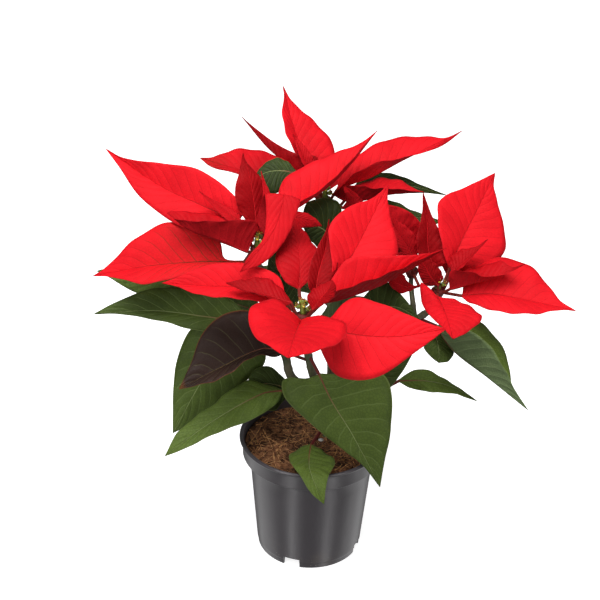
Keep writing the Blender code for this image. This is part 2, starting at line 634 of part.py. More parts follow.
# Green leaves: the limb, how far along it, then base, midrib, tip, left edge, right edge.
LEAVES = {
    "leaf_left_top": leaf(
        "left", 0.74, (244, 282, 20), [(190, 280, 34), (140, 275, 38)], (97, 271, 40),
        [(225, 291, 32), (180, 296, 40), (137, 293, 40), (110, 278, 40)],
        [(225, 270, 28), (185, 262, 36), (145, 261, 39), (115, 266, 40)]),
    "leaf_left_upper": leaf(
        "left", 0.52, (252, 321, 20), [(215, 318, 18), (155, 311, 14)], (94, 314, 8),
        [(236, 332, 14), (200, 331, 8), (160, 321, 8), (118, 314, 9)],
        [(230, 299, 20), (195, 288, 18), (150, 289, 15), (112, 304, 11)]),
    "leaf_left_purple": leaf(
        "front", 0.42, (284, 352, 4), [(262, 349, 0), (218, 369, -8)], (179, 389, -14),
        [(276, 357, 0), (255, 356, -12), (222, 378, -22), (195, 386, -18)],
        [(276, 325, 2), (240, 310, 4), (207, 327, -2), (188, 370, -10)]),
    "leaf_left_hanging": leaf(
        "left", 0.54, (262, 324, 30), [(238, 338, 38), (204, 378, 50)], (173, 433, 54),
        [(264, 342, 38), (264, 364, 52), (232, 392, 58), (190, 424, 56)],
        [(232, 312, 38), (192, 328, 46), (176, 364, 52), (173, 400, 54)]),
    "leaf_left_low": leaf(
        "trunk", 0.84, (282, 391, 40), [(262, 394, 36), (215, 420, 30)], (165, 456, 24),
        [(278, 402, 38), (255, 418, 28), (215, 434, 22), (182, 450, 22)],
        [(270, 385, 44), (246, 381, 42), (212, 405, 38), (178, 432, 30)]),
    "leaf_left_small": leaf(
        "trunk", 0.79, (291, 391, 58), [(276, 385, 52), (262, 384, 49)], (246, 394, 52),
        [(285, 399, 57), (273, 411, 57), (256, 404, 54)],
        [(284, 378, 54), (268, 366, 50), (252, 372, 49)], fine=False),
    "leaf_front_large": leaf(
        "front", 0.46, (319, 374, 20), [(331, 400, 22), (352, 434, 25)], (380, 487, 32),
        [(346, 374, 18), (374, 368, 18), (390, 385, 19), (391, 428, 24), (383, 470, 30)],
        [(308, 378, 23), (283, 380, 25), (285, 398, 25), (323, 434, 24), (362, 465, 29)]),
    "leaf_over_rim": leaf(
        "trunk", 0.70, (311, 445, 50), [(309, 458, 38), (311, 474, 16)], (324, 504, 10),
        [(320, 449, 47), (335, 461, 34), (329, 475, 14), (326, 487, 10)],
        [(303, 446, 50), (289, 457, 39), (301, 477, 15), (311, 493, 10)]),
    "leaf_right_low": leaf(
        "trunk", 0.84, (352, 390, 62), [(370, 380, 54), (392, 369, 51)], (412, 355, 50),
        [(360, 375, 62), (374, 362, 58), (396, 357, 52)],
        [(364, 397, 56), (384, 393, 51), (401, 374, 49)], fine=False),
    "leaf_right_narrow": leaf(
        "trunk", 0.76, (399, 381, 70), [(425, 381, 63), (452, 387, 55)], (477, 401, 47),
        [(408, 373, 72), (424, 369, 69), (450, 382, 60), (468, 394, 51)],
        [(410, 388, 66), (430, 392, 56), (455, 394, 50), (470, 399, 47)]),
    "leaf_right_folded": leaf(
        "right", 0.80, (437, 326, 14), [(454, 350, 8), (488, 377, 4)], (528, 410, 4),
        [(456, 316, 24), (484, 325, 28), (506, 354, 20), (512, 384, 10)],
        [(450, 324, 2), (482, 338, -8), (500, 361, -8), (517, 393, 0)]),
    "leaf_right_small": leaf(
        "right", 0.72, (433, 330, 30), [(437, 341, 24), (439, 352, 20)], (439, 363, 18),
        [(444, 336, 26), (454, 350, 22), (449, 361, 19)],
        [(426, 338, 28), (424, 348, 23), (432, 358, 20)], fine=False),
    "leaf_inner_dark": leaf(
        "front", 0.70, (290, 312, 10), [(284, 292, 17), (280, 272, 21)], (276, 245, 24),
        [(276, 302, 17), (269, 284, 21), (268, 260, 23)],
        [(298, 300, 4), (296, 280, 12), (289, 260, 18)], fine=False),
    "leaf_inner_pale": leaf(
        "front", 0.56, (324, 331, -19), [(333, 320, -20), (348, 307, -25)], (366, 297, -30),
        [(331, 336, -18), (348, 326, -24), (362, 308, -29)],
        [(321, 316, -14), (333, 302, -19), (350, 296, -27)], fine=False),
    "leaf_inner_right": leaf(
        "right", 0.56, (372, 322, 12), [(384, 308, 4), (400, 308, -4)], (420, 320, -12),
        [(362, 300, 6), (386, 282, 0), (406, 300, -6)],
        [(376, 334, 10), (394, 332, 2), (410, 326, -8)], fine=False),
    "leaf_back_right": leaf(
        "back", 0.62, (360, 218, 46), [(382, 216, 48), (412, 217, 50)], (441, 221, 50),
        [(372, 203, 53), (390, 200, 54), (412, 210, 53)],
        [(372, 232, 40), (394, 238, 40), (420, 234, 44)], fine=False),
    "leaf_back_left": leaf(
        "back", 0.74, (297, 174, 17), [(284, 171, 17), (268, 172, 17)], (253, 180, 16),
        [(286, 181, 15), (277, 193, 13), (264, 191, 14)],
        [(288, 162, 20), (276, 158, 20), (262, 166, 19)], fine=False),
    "leaf_back_brown": leaf(
        "back", 0.90, (356, 186, 56), [(384, 183, 62), (414, 187, 66)], (446, 195, 70),
        [(366, 174, 60), (394, 174, 66), (424, 186, 69)],
        [(368, 193, 58), (396, 194, 60), (424, 193, 66)], fine=False),
    "leaf_back_veined": leaf(
        "back", 0.72, (336, 244, 27), [(325, 231, 22), (314, 225, 18)], (301, 223, 13),
        [(328, 248, 22), (319, 248, 19), (309, 238, 14)],
        [(343, 222, 27), (336, 200, 26), (308, 202, 20)], fine=False),
    "leaf_rear_left": hidden_leaf("left", 0.60, 235, 6, 110, 46, 0.30, fine=True),
    "leaf_rear_low": hidden_leaf("back", 0.24, 190, 4, 120, 52, 0.34, fine=True),
    "leaf_rear_middle": hidden_leaf("back", 0.50, 215, 8, 112, 48, 0.28),
    "leaf_rear_upper": hidden_leaf("back", 0.68, 160, 10, 104, 46, 0.26),
    "leaf_rear_right": hidden_leaf("right", 0.40, 150, 4, 116, 50, 0.32, fine=True),
    "leaf_rear_outer": hidden_leaf("back", 0.80, 127, 0, 74, 36, 0.26),
}


def main():
    clear_scene()
    plastic = material("pot_plastic", (0.075, 0.073, 0.078), 0.42)
    peat = material("peat", (0.05, 0.025, 0.012), 0.95)
    bark = material("stem_skin", (0.11, 0.12, 0.055), 0.6)
    green = material("leaf_green", (0.045, 0.11, 0.025), 0.5)
    purple = material("leaf_purple", (0.05, 0.015, 0.018), 0.5)
    red = material("bract_red", (0.75, 0.01, 0.015), 0.5)
    cup = material("cyathia_green", (0.28, 0.36, 0.04), 0.5)

    build_pot(plastic)
    build_soil(peat, TRUNK_FOOT)
    build_stem(bark)
    for head in HEADS:
        build_bracts(head, red)
        build_cyathia(head, cup)
    for name, made in LEAVES.items():
        leaf_solid(name, made, purple if name == "leaf_left_purple" else green)


main()
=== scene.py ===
# %% [markdown]
# # A potted poinsettia
#
# The real plant is a young shrub in a 12 cm nursery pot. Five branches end in heads of red bracts, which
# are coloured leaves, and in the middle of each head sits a knot of small green flowers. Green leaves on
# red stalks fill the space below, down to the peat in the pot.
#
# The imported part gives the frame. Every piece made here stands exactly where one of its nodes is, with more
# faces, thinner blades and real finishes.

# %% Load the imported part
import math
import random

import bmesh
import bpy
from mathutils import Matrix, Vector, noise


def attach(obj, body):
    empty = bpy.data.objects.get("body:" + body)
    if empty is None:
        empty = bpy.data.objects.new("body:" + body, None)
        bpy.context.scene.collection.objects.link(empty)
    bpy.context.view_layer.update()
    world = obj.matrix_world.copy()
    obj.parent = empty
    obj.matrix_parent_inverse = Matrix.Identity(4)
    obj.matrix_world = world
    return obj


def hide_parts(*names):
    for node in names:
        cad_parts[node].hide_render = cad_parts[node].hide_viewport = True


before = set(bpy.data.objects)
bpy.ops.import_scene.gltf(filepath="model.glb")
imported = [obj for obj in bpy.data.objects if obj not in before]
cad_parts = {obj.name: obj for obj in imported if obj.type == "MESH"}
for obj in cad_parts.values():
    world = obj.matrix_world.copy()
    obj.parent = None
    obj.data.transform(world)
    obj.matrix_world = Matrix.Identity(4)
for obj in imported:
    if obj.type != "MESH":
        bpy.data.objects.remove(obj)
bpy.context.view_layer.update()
chance = random.Random(12)
MM = 0.001
UP = Vector((0, 0, 1))

# %% [markdown]
# ## The viewpoint
#
# The plant was seen from one fixed place, about 1.5 m away and looking 30 degrees down through a long lens.
# The camera could be pointed with a Track To constraint, but a photograph also has a slight roll, so the
# three picture axes are worked out once. They aim the camera, and later they turn picture positions into
# points on the plant.

# %% Viewpoint and camera
VIEW_BACK = 1236.5
VIEW_HEIGHT = 941.8
VIEW_PITCH = math.radians(29.81)
VIEW_YAW = math.radians(-0.6)
VIEW_ROLL = math.radians(1.6)
PICTURE_FOCAL = 1800.0
PICTURE_CENTRE = 300.0
PICTURE_WIDTH = 600.0
SENSOR_WIDTH = 36.0

EYE = Vector((0, -VIEW_BACK, VIEW_HEIGHT))
FORWARD = Vector((math.sin(VIEW_YAW) * math.cos(VIEW_PITCH),
                  math.cos(VIEW_YAW) * math.cos(VIEW_PITCH), -math.sin(VIEW_PITCH)))
level = Vector((math.cos(VIEW_YAW), -math.sin(VIEW_YAW), 0))
upright = level.cross(FORWARD)
PICTURE_RIGHT = level * math.cos(VIEW_ROLL) + upright * math.sin(VIEW_ROLL)
PICTURE_UP = upright * math.cos(VIEW_ROLL) - level * math.sin(VIEW_ROLL)


def in_scene(name, data):
    """A new object in the scene, at the origin and unturned."""
    made = bpy.data.objects.new(name, data)
    bpy.context.scene.collection.objects.link(made)
    return made


lens = bpy.data.cameras.new("camera")
lens.sensor_width = SENSOR_WIDTH
lens.lens = PICTURE_FOCAL / PICTURE_WIDTH * SENSOR_WIDTH
camera = in_scene("camera", lens)
facing = Matrix((PICTURE_RIGHT, PICTURE_UP, -FORWARD)).transposed().to_4x4()
camera.matrix_world = Matrix.Translation(EYE * MM) @ facing
bpy.context.scene.camera = camera
print("camera lens", lens.lens, "mm, eye at", [round(value) for value in EYE])

# %% [markdown]
# ## Picture positions
#
# Each leaf is described as it is seen: two picture coordinates, and a depth in mm behind the plant's middle
# plane. The other way would be to write points in space for every leaf, but then nobody could check them
# against what the eye sees. `spot` does the conversion, and `run` draws a smooth line through a few such
# points.

# %% Points and smooth lines
MIDDLE_HEIGHT = 250.0


def sight_line(across, down):
    """The direction from the eye through a picture position, one mm forward per unit."""
    return (FORWARD + PICTURE_RIGHT * ((across - PICTURE_CENTRE) / PICTURE_FOCAL)
            + PICTURE_UP * ((PICTURE_CENTRE - down) / PICTURE_FOCAL))


def spot(across, down, depth):
    """The point seen at a picture position, so many mm behind the plant's middle plane."""
    reach = (Vector((0, 0, MIDDLE_HEIGHT)) - EYE).dot(FORWARD) + depth
    return EYE + sight_line(across, down) * reach


def run(points, fractions):
    """Points at the given fractions of a smooth curve through the given points."""
    knots = [0.0]
    for start, end in zip(points, points[1:]):
        knots.append(knots[-1] + (end - start).length)
    last = len(points) - 1
    slopes = []
    for i in range(last + 1):
        low, high = max(i - 1, 0), min(i + 1, last)
        slopes.append((points[high] - points[low]) / (knots[high] - knots[low]))
    found = []
    for fraction in fractions:
        reach = fraction * knots[-1]
        i = max(k for k in range(last) if knots[k] <= reach + 1e-9)
        span = knots[i + 1] - knots[i]
        t = (reach - knots[i]) / span
        found.append(points[i] * (2 * t**3 - 3 * t**2 + 1) + slopes[i] * span * (t**3 - 2 * t**2 + t)
                     + points[i + 1] * (3 * t**2 - 2 * t**3) + slopes[i + 1] * span * (t**3 - t**2))
    return found


print("the picture's middle is the point", [round(value) for value in spot(300, 300, 0)])

# %% [markdown]
# ## Floor and light
#
# The plant stands on a white studio sweep. Two tall soft boxes, left and right of the camera, and a wide
# box overhead light the bracts. A single sun lamp would be simpler, but it would throw hard leaf shadows
# that soft boxes don't. The pot's two soft upright highlights are the brightest parts of the floor,
# mirrored in its wall. Four low cards stand in for them, since a plain floor mirrors as one flat grey.

# %% Floor, lights and backdrop
FLOOR_REACH = 6.0
FLOOR_DROP = 0.0002
bpy.context.scene.view_settings.view_transform = "Standard"


def mesh_from(name, shape):
    """A mesh made from a bmesh, which is used up."""
    mesh = bpy.data.meshes.new(name)
    shape.to_mesh(mesh)
    shape.free()
    return mesh


bm = bmesh.new()
bmesh.ops.create_grid(bm, x_segments=1, y_segments=1, size=FLOOR_REACH,
                      matrix=Matrix.Translation((0, 0, -FLOOR_DROP)))
floor = in_scene("floor", mesh_from("floor", bm))
paper = bpy.data.materials.new("white_paper")
paper.use_nodes = True
sheen = paper.node_tree.nodes["Principled BSDF"]
sheen.inputs["Base Color"].default_value = (0.93, 0.93, 0.93, 1)
sheen.inputs["Roughness"].default_value = 0.9
sheen.inputs["Emission Color"].default_value = (1, 1, 1, 1)
sheen.inputs["Emission Strength"].default_value = 0.8
floor.data.materials.append(paper)
floor.visible_diffuse = False
floor.visible_glossy = False
floor.visible_shadow = False


def soft_box(name, place, aim, width, height, power):
    """A rectangular studio light at a place, facing a point; all in metres."""
    lamp = bpy.data.lights.new(name, "AREA")
    lamp.shape = "RECTANGLE"
    lamp.size = width
    lamp.size_y = height
    lamp.energy = power
    holder = in_scene(name, lamp)
    holder.location = place
    holder.rotation_euler = (Vector(aim) - Vector(place)).to_track_quat("-Z", "Y").to_euler()
    return holder


PLANT_MIDDLE = (0, 0, 0.2)
POT_MIDDLE = (0, 0, 0.05)
GLINT_DIP = math.radians(38)
GLINT_HEIGHT = 0.9


def compass(heading):
    """The level direction of a heading in degrees: 0 is the viewer's, 90 is to the right."""
    turn = math.radians(heading)
    return Vector((math.sin(turn), -math.cos(turn), 0))


def glint(name, heading, width, power):
    """A low card that only glossy surfaces see, like a bright part of a floor."""
    place = compass(heading) * math.cos(GLINT_DIP) - UP * math.sin(GLINT_DIP)
    card = soft_box(name, place, POT_MIDDLE, width, GLINT_HEIGHT, power)
    card.visible_diffuse = False


soft_box("left_box", (-1.15, -1.35, 1.0), PLANT_MIDDLE, 0.4, 1.3, 11)
soft_box("right_box", (1.25, -1.35, 0.9), PLANT_MIDDLE, 0.3, 1.2, 7)
soft_box("top_box", (-0.25, -0.35, 1.9), PLANT_MIDDLE, 1.3, 1.0, 30)
glint("left_glint", -36, 0.14, 1.7)
glint("right_glint", 41, 0.14, 1.6)
glint("far_left_glint", -108, 0.8, 2.2)
glint("far_right_glint", 112, 0.8, 2.4)
surround = bpy.data.worlds.new("surround")
surround.use_nodes = True
surround.node_tree.nodes["Background"].inputs["Color"].default_value = (1, 1, 1, 1)
surround.node_tree.nodes["Background"].inputs["Strength"].default_value = 0.2
bpy.context.scene.world = surround

# %% [markdown]
# ## Small helpers for shader nodes
#
# Finishes are built from nodes in code. A few short helpers keep that readable: one adds a node and fills
# its sockets, one does a sum, one makes a soft step, and one mixes two colours by a mask.

# %% Node helpers


def plug(tree, socket, value):
    """Link a socket to another socket, or set its value."""
    if isinstance(value, bpy.types.NodeSocket):
        tree.links.new(value, socket)
    else:
        socket.default_value = value


def add_node(tree, kind, inputs, **settings):
    """Add a shader node, set its settings and fill the named inputs."""
    made = tree.nodes.new("ShaderNode" + kind)
    for key, value in settings.items():
        setattr(made, key, value)
    for key, value in inputs.items():
        plug(tree, made.inputs[key], value)
    return made


def sum_up(tree, operation, *values):
    """One step of arithmetic on values or sockets."""
    made = add_node(tree, "Math", {}, operation=operation)
    for socket, value in zip(made.inputs, values):
        plug(tree, socket, value)
    return made.outputs[0]


def soft_step(tree, value, low, high, start=0.0, end=1.0):
    """Go smoothly from start to end as a value goes from low to high."""
    inputs = {"Value": value, "From Min": low, "From Max": high, "To Min": start, "To Max": end}
    return add_node(tree, "MapRange", inputs, interpolation_type="SMOOTHSTEP").outputs["Result"]


def mix_colours(tree, share, first, second):
    """Mix two colours by a share from 0 to 1."""
    made = add_node(tree, "Mix", {}, data_type="RGBA")
    for index, value in ((0, share), (6, first), (7, second)):
        plug(tree, made.inputs[index], value)
    return made.outputs[2]


def new_group(name, inputs, outputs):
    """An empty shader group with named number inputs and outputs."""
    group = bpy.data.node_groups.new(name, "ShaderNodeTree")
    for label, value in inputs.items():
        group.interface.new_socket(label, in_out="INPUT", socket_type="NodeSocketFloat").default_value = value
    for label in outputs:
        group.interface.new_socket(label, in_out="OUTPUT", socket_type="NodeSocketFloat")
    return group, group.nodes.new("NodeGroupInput").outputs, group.nodes.new("NodeGroupOutput").inputs


def use_group(tree, group, **values):
    """Place a group in a material with its own values. Underscores in the names stand for spaces."""
    made = tree.nodes.new("ShaderNodeGroup")
    made.node_tree = group
    for key, value in values.items():
        plug(tree, made.inputs[key.replace("_", " ")], value)
    return made.outputs


def new_finish(name):
    """A new material: the material, its node tree and its shader."""
    finish = bpy.data.materials.new(name)
    finish.use_nodes = True
    return finish, finish.node_tree, finish.node_tree.nodes["Principled BSDF"]


def object_place(tree):
    """The place on the object's own coordinates."""
    return add_node(tree, "TexCoord", {}).outputs["Object"]


def cloud(tree, scale, detail=3.0, stretch=None):
    """A soft noise value on the object's own coordinates, stretched where a scale for each axis is given."""
    place = object_place(tree)
    if stretch:
        place = add_node(tree, "Mapping", {"Vector": place, "Scale": stretch}).outputs["Vector"]
    return add_node(tree, "TexNoise", {"Vector": place, "Scale": scale, "Detail": detail}).outputs["Fac"]


def relief(tree, shader, height, depth, strength=1.0, invert=False):
    """Give the shader a bump. Depth is in mm."""
    inputs = {"Height": height, "Distance": depth * MM, "Strength": strength}
    bump = add_node(tree, "Bump", inputs, invert=invert)
    plug(tree, shader.inputs["Normal"], bump.outputs["Normal"])


print("node helpers ready")

# %% [markdown]
# ## Veins
#
# A poinsettia blade has one strong midrib, ten or so pairs of side veins that lean towards the tip, and a
# fine net between them. Modelling the net would take millions of faces, and a picture can't be used, so a
# node group draws it. It reads the blade's own UV map, which runs from stalk to tip and from edge to edge,
# so the veins follow each blade however it bends. Bracts and leaves share the group and give it their own
# numbers.

# %% The vein group
STALK_UV = 0.2
VEIN_LEAN = 0.24
VEIN_CURVE = 0.85
VEIN_SWAY = 0.4
OTHER_SIDE_SHIFT = 0.4
RIB_HALF_WIDTH = 0.8
vein_group, asked, given = new_group(
    "blade_veins", {"Pairs": 9.0, "Lean": 2.2, "Rib half width": RIB_HALF_WIDTH},
    ["Rib", "Side", "Net", "Height", "Along", "Share", "Stalk"])
place = add_node(vein_group, "UVMap", {}, uv_map="leaf").outputs["UV"]
split = add_node(vein_group, "SeparateXYZ", {"Vector": place}).outputs
along = sum_up(vein_group, "MULTIPLY_ADD", split["X"], 1 / (1 - STALK_UV), -STALK_UV / (1 - STALK_UV))
across = sum_up(vein_group, "MULTIPLY_ADD", split["Y"], 2, -1)
share = sum_up(vein_group, "ABSOLUTE", across)
sway = add_node(vein_group, "TexNoise", {"Vector": place, "Scale": 5.0, "Detail": 1.0}).outputs["Fac"]
other_side = sum_up(vein_group, "GREATER_THAN", across, 0)
counted = sum_up(vein_group, "MULTIPLY", along, asked["Pairs"])
leaned = sum_up(vein_group, "MULTIPLY", sum_up(vein_group, "POWER", share, VEIN_CURVE), asked["Lean"])
counted = sum_up(vein_group, "SUBTRACT", counted, leaned)
counted = sum_up(vein_group, "SUBTRACT", counted, VEIN_SWAY / 2)
counted = sum_up(vein_group, "MULTIPLY_ADD", sway, VEIN_SWAY, counted)
counted = sum_up(vein_group, "MULTIPLY_ADD", other_side, OTHER_SIDE_SHIFT, counted)
gap = sum_up(vein_group, "SUBTRACT", sum_up(vein_group, "FRACT", counted), 0.5)
gap = sum_up(vein_group, "ABSOLUTE", gap)

on_blade = soft_step(vein_group, along, 0.0, 0.05)
side = sum_up(vein_group, "MULTIPLY", soft_step(vein_group, gap, 0.01, 0.06, 1, 0), on_blade)
side = sum_up(vein_group, "MULTIPLY", side, soft_step(vein_group, share, 0.6, 1.0, 1, 0))
from_rib = add_node(vein_group, "Attribute", {}, attribute_name="from_rib").outputs["Fac"]
rib_width = sum_up(vein_group, "SUBTRACT", 1.15, along)
rib_width = sum_up(vein_group, "MULTIPLY", rib_width, asked["Rib half width"])
rib = soft_step(vein_group, sum_up(vein_group, "DIVIDE", from_rib, rib_width), 0.45, 1.0, 1, 0)
cells = {"Vector": object_place(vein_group), "Scale": 420.0}
cell_edge = add_node(vein_group, "TexVoronoi", cells, feature="DISTANCE_TO_EDGE").outputs["Distance"]
net = sum_up(vein_group, "MULTIPLY", soft_step(vein_group, cell_edge, 0.02, 0.2, 1, 0), on_blade)

swell = sum_up(vein_group, "POWER", sum_up(vein_group, "MULTIPLY", gap, 2), 0.6)
height = sum_up(vein_group, "MULTIPLY_ADD", net, -0.22, swell)
height = sum_up(vein_group, "MULTIPLY_ADD", rib, -0.8, height)
height = sum_up(vein_group, "MULTIPLY", height, on_blade)
stalk = soft_step(vein_group, along, -0.01, 0.02, 1, 0)
for label, value in (("Rib", rib), ("Side", side), ("Net", net), ("Height", height), ("Along", along),
                     ("Share", share), ("Stalk", stalk)):
    plug(vein_group, given[label], value)
print("vein group with", len(vein_group.nodes), "nodes")

# %% [markdown]
# ## Bract and leaf finishes
#
# A bract is a matte, slightly velvety red that drifts between deep and bright red in soft patches, with fine
# lines a shade darker. A leaf is a half-matte dark green with pale veins that turn red towards the stalk.
# Each blade's tint moves it further towards its deep colour or its bright one; the tint is partly the blade's
# own tone and partly painted shade. Both are duller underneath, where the veins stand out instead of lying
# in, and bract undersides are painted darker still as shade. One function makes all of them, since only the
# colours and the depths differ. A stain attribute lets part of a bract stay green-brown, as bracts do that
# turned red late.

# %% Blade finishes
BRACT_PAIRS = 12
LEAF_PAIRS = 10


def blade_finish(name, colours, roughness, vein_share, net_share, depth, underside=False, pairs=LEAF_PAIRS,
                 gloss=0.14, stain_spread=0.3):
    """A blade's material. The stain sits in the veins, and a small share of it spreads into the flesh."""
    finish, tree, shader = new_finish(name)
    pattern = use_group(tree, vein_group, Pairs=pairs, Lean=pairs * VEIN_LEAN, Rib_half_width=RIB_HALF_WIDTH)
    tint_and_painted_shade = add_node(tree, "Attribute", {}, attribute_name="tint_and_painted_shade").outputs["Fac"]
    stain = add_node(tree, "Attribute", {}, attribute_name="stain").outputs["Fac"]
    # The blade's tint shifts the mix from deep to bright colour: partly the blade's own tone, partly painted
    # shade.
    tone_and_painted_shade = sum_up(tree, "MULTIPLY_ADD", cloud(tree, 38.0), 0.7, sum_up(tree, "SUBTRACT", tint_and_painted_shade, 0.35))
    tone_and_painted_shade = sum_up(tree, "MINIMUM", sum_up(tree, "MAXIMUM", tone_and_painted_shade, 0), 1)
    flesh = mix_colours(tree, tone_and_painted_shade, colours["deep"], colours["flesh"])
    flesh = mix_colours(tree, sum_up(tree, "MULTIPLY", pattern["Net"], net_share), flesh, colours["net"])
    flesh = mix_colours(tree, sum_up(tree, "MULTIPLY", pattern["Side"], vein_share), flesh, colours["vein"])
    flesh = mix_colours(tree, soft_step(tree, pattern["Share"], 0.955, 1.0, 0, 0.7), flesh, colours["edge"])
    rib = mix_colours(tree, soft_step(tree, pattern["Along"], 0.05, 0.5), colours["rib_foot"], colours["rib"])
    flesh = mix_colours(tree, sum_up(tree, "MULTIPLY", pattern["Rib"], 0.85), flesh, rib)
    lines = sum_up(tree, "MAXIMUM", pattern["Side"], pattern["Rib"])
    lines = sum_up(tree, "MULTIPLY_ADD", pattern["Net"], 0.15, lines)
    lines = sum_up(tree, "MULTIPLY_ADD", lines, 1 - stain_spread, stain_spread)
    stained = sum_up(tree, "MULTIPLY", stain, lines)
    flesh = mix_colours(tree, sum_up(tree, "MINIMUM", stained, 1), flesh, colours["stain"])
    flesh = mix_colours(tree, pattern["Stalk"], flesh, colours["stalk"])
    plug(tree, shader.inputs["Base Color"], flesh)
    plug(tree, shader.inputs["Roughness"],
         sum_up(tree, "MULTIPLY_ADD", cloud(tree, 160.0), 0.16, roughness - 0.08))
    shader.inputs["Specular IOR Level"].default_value = gloss
    relief(tree, shader, pattern["Height"], depth, 0.9, invert=underside)
    return finish


BRACT = {"deep": (0.27, 0.002, 0.004, 1), "flesh": (0.93, 0.012, 0.022, 1),
         "net": (0.52, 0.004, 0.008, 1), "vein": (0.38, 0.003, 0.007, 1), "edge": (0.74, 0.018, 0.026, 1),
         "rib": (0.60, 0.008, 0.013, 1), "rib_foot": (0.50, 0.015, 0.018, 1),
         "stain": (0.10, 0.040, 0.014, 1), "stalk": (0.24, 0.035, 0.025, 1)}
# Bract undersides: a duller red, whose darker end also carries painted shade.
BRACT_BELOW = BRACT | {"deep": (0.18, 0.0015, 0.003, 1), "flesh": (0.80, 0.016, 0.026, 1),
                       "net": (0.30, 0.003, 0.006, 1), "vein": (0.50, 0.010, 0.014, 1),
                       "edge": (0.50, 0.008, 0.012, 1), "rib": (0.55, 0.014, 0.018, 1)}
LEAF = {"deep": (0.030, 0.045, 0.011, 1), "flesh": (0.145, 0.215, 0.038, 1),
        "net": (0.040, 0.062, 0.014, 1), "vein": (0.20, 0.27, 0.085, 1), "edge": (0.22, 0.28, 0.085, 1),
        "rib": (0.28, 0.34, 0.13, 1), "rib_foot": (0.25, 0.06, 0.045, 1),
        "stain": (0.12, 0.03, 0.02, 1), "stalk": (0.17, 0.028, 0.025, 1)}
LEAF_BELOW = LEAF | {"deep": (0.080, 0.120, 0.050, 1), "flesh": (0.190, 0.260, 0.110, 1),
                     "net": (0.110, 0.160, 0.070, 1), "vein": (0.26, 0.34, 0.15, 1)}
PURPLE = LEAF | {"deep": (0.018, 0.010, 0.008, 1), "flesh": (0.065, 0.032, 0.022, 1),
                 "net": (0.026, 0.013, 0.010, 1), "vein": (0.11, 0.10, 0.045, 1),
                 "edge": (0.24, 0.08, 0.03, 1), "rib": (0.18, 0.12, 0.05, 1),
                 "stain": (0.48, 0.17, 0.04, 1)}
PURPLE_BELOW = PURPLE | {"deep": (0.05, 0.018, 0.018, 1), "flesh": (0.12, 0.05, 0.04, 1)}

bract_pair = [blade_finish("bract_skin", BRACT, 0.56, 0.36, 0.14, 0.3, pairs=BRACT_PAIRS, gloss=0.07,
                           stain_spread=0.12),
              blade_finish("bract_skin_below", BRACT_BELOW, 0.62, 0.3, 0.2, 0.4, underside=True,
                           pairs=BRACT_PAIRS, gloss=0.05)]
leaf_pair = [blade_finish("leaf_skin", LEAF, 0.48, 0.42, 0.3, 0.4),
             blade_finish("leaf_skin_below", LEAF_BELOW, 0.6, 0.5, 0.3, 0.6, underside=True)]
purple_pair = [blade_finish("purple_skin", PURPLE, 0.5, 0.4, 0.4, 0.5),
               blade_finish("purple_skin_below", PURPLE_BELOW, 0.6, 0.5, 0.3, 0.6, underside=True)]
print("blade finishes", [finish.name for finish in bract_pair + leaf_pair + purple_pair])

# %% [markdown]
# ## From a mesh to a piece
#
# Everything is modelled in mm, because leaf sizes are easier to judge that way. One helper scales the mesh
# to metres, gives it its finishes, and tells the frame which node it stands for.

# %% Adding a piece
def add_piece(name, shape, finishes, node):
    """Make an object from a bmesh or mesh in mm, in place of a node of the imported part."""
    if isinstance(shape, bmesh.types.BMesh):
        mesh = mesh_from(name, shape)
    else:
        mesh = shape
        mesh.name = name
    mesh.transform(Matrix.Scale(MM, 4))
    for finish in finishes:
        mesh.materials.append(finish)
    piece = in_scene(name, mesh)
    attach(piece, "root")
    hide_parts(node)
    mesh.calc_loop_triangles()
    print(name, len(mesh.loop_triangles), "triangles")
    return piece


print("pieces are made in mm and kept in metres")

# %% [markdown]
# ## Heads and limbs
#
# The five head centres are sightings. The stem's limbs run from the trunk to just under them, and each leaf
# stalk starts on a limb, so the limbs come before the leaves.

# %% Heads and limbs
HUB_HEIGHT = 8.0
HUB_SINK = 2.0
NECK_RISE = 9.0
TRUNK_RADIUS = 5.2
TRUNK_FOOT = Vector((14, 8, 60))
TRUNK_FORK = Vector((12, 4, 130))

HEADS = {"left": spot(257, 246, -15), "front": spot(303, 313, -55), "back": spot(325, 197, 35),
         "inner": spot(412, 268, 25), "right": spot(438, 288, 5)}


def under_head(head):
    """The last two points of a limb, straight below a head and ending inside its hub."""
    end = HEADS[head] - UP * (HUB_HEIGHT - HUB_SINK)
    return [end - UP * NECK_RISE, end]


# The limbs of the stem: points from root to end, then the radius at each end.
LIMBS = {
    "trunk": ([TRUNK_FOOT, Vector((14, 8, 98)), TRUNK_FORK, Vector((11, 2, 138))], TRUNK_RADIUS, 4.4),
    "left": ([TRUNK_FORK, Vector((-3, 1, 145)), Vector((-18.5, 0, 162)), Vector((-23, 0, 180)),
              Vector((-40, 2, 252)), *under_head("left")], 3.9, 2.8),
    "front": ([TRUNK_FORK, Vector((6, -3, 150)), Vector((-0.7, -8, 168.7)), Vector((-5.3, -15, 193.6)),
               Vector((-9, -44, 230)), *under_head("front")], 3.7, 2.6),
    "back": ([TRUNK_FORK, Vector((14, 12, 158)), Vector((11, 38, 220)), Vector((6, 58, 262)),
              *under_head("back")], 3.6, 2.6),
    "right": ([TRUNK_FORK, Vector((28, 6, 156)), Vector((55, 9, 189)), Vector((80, 8, 214)),
               *under_head("right")], 3.7, 2.6),
    "inner": ([Vector((79.5, 8, 213.5)), spot(413, 304, 29), *under_head("inner")], 2.4, 1.8),
}


BARK_DEPTH = 1.2


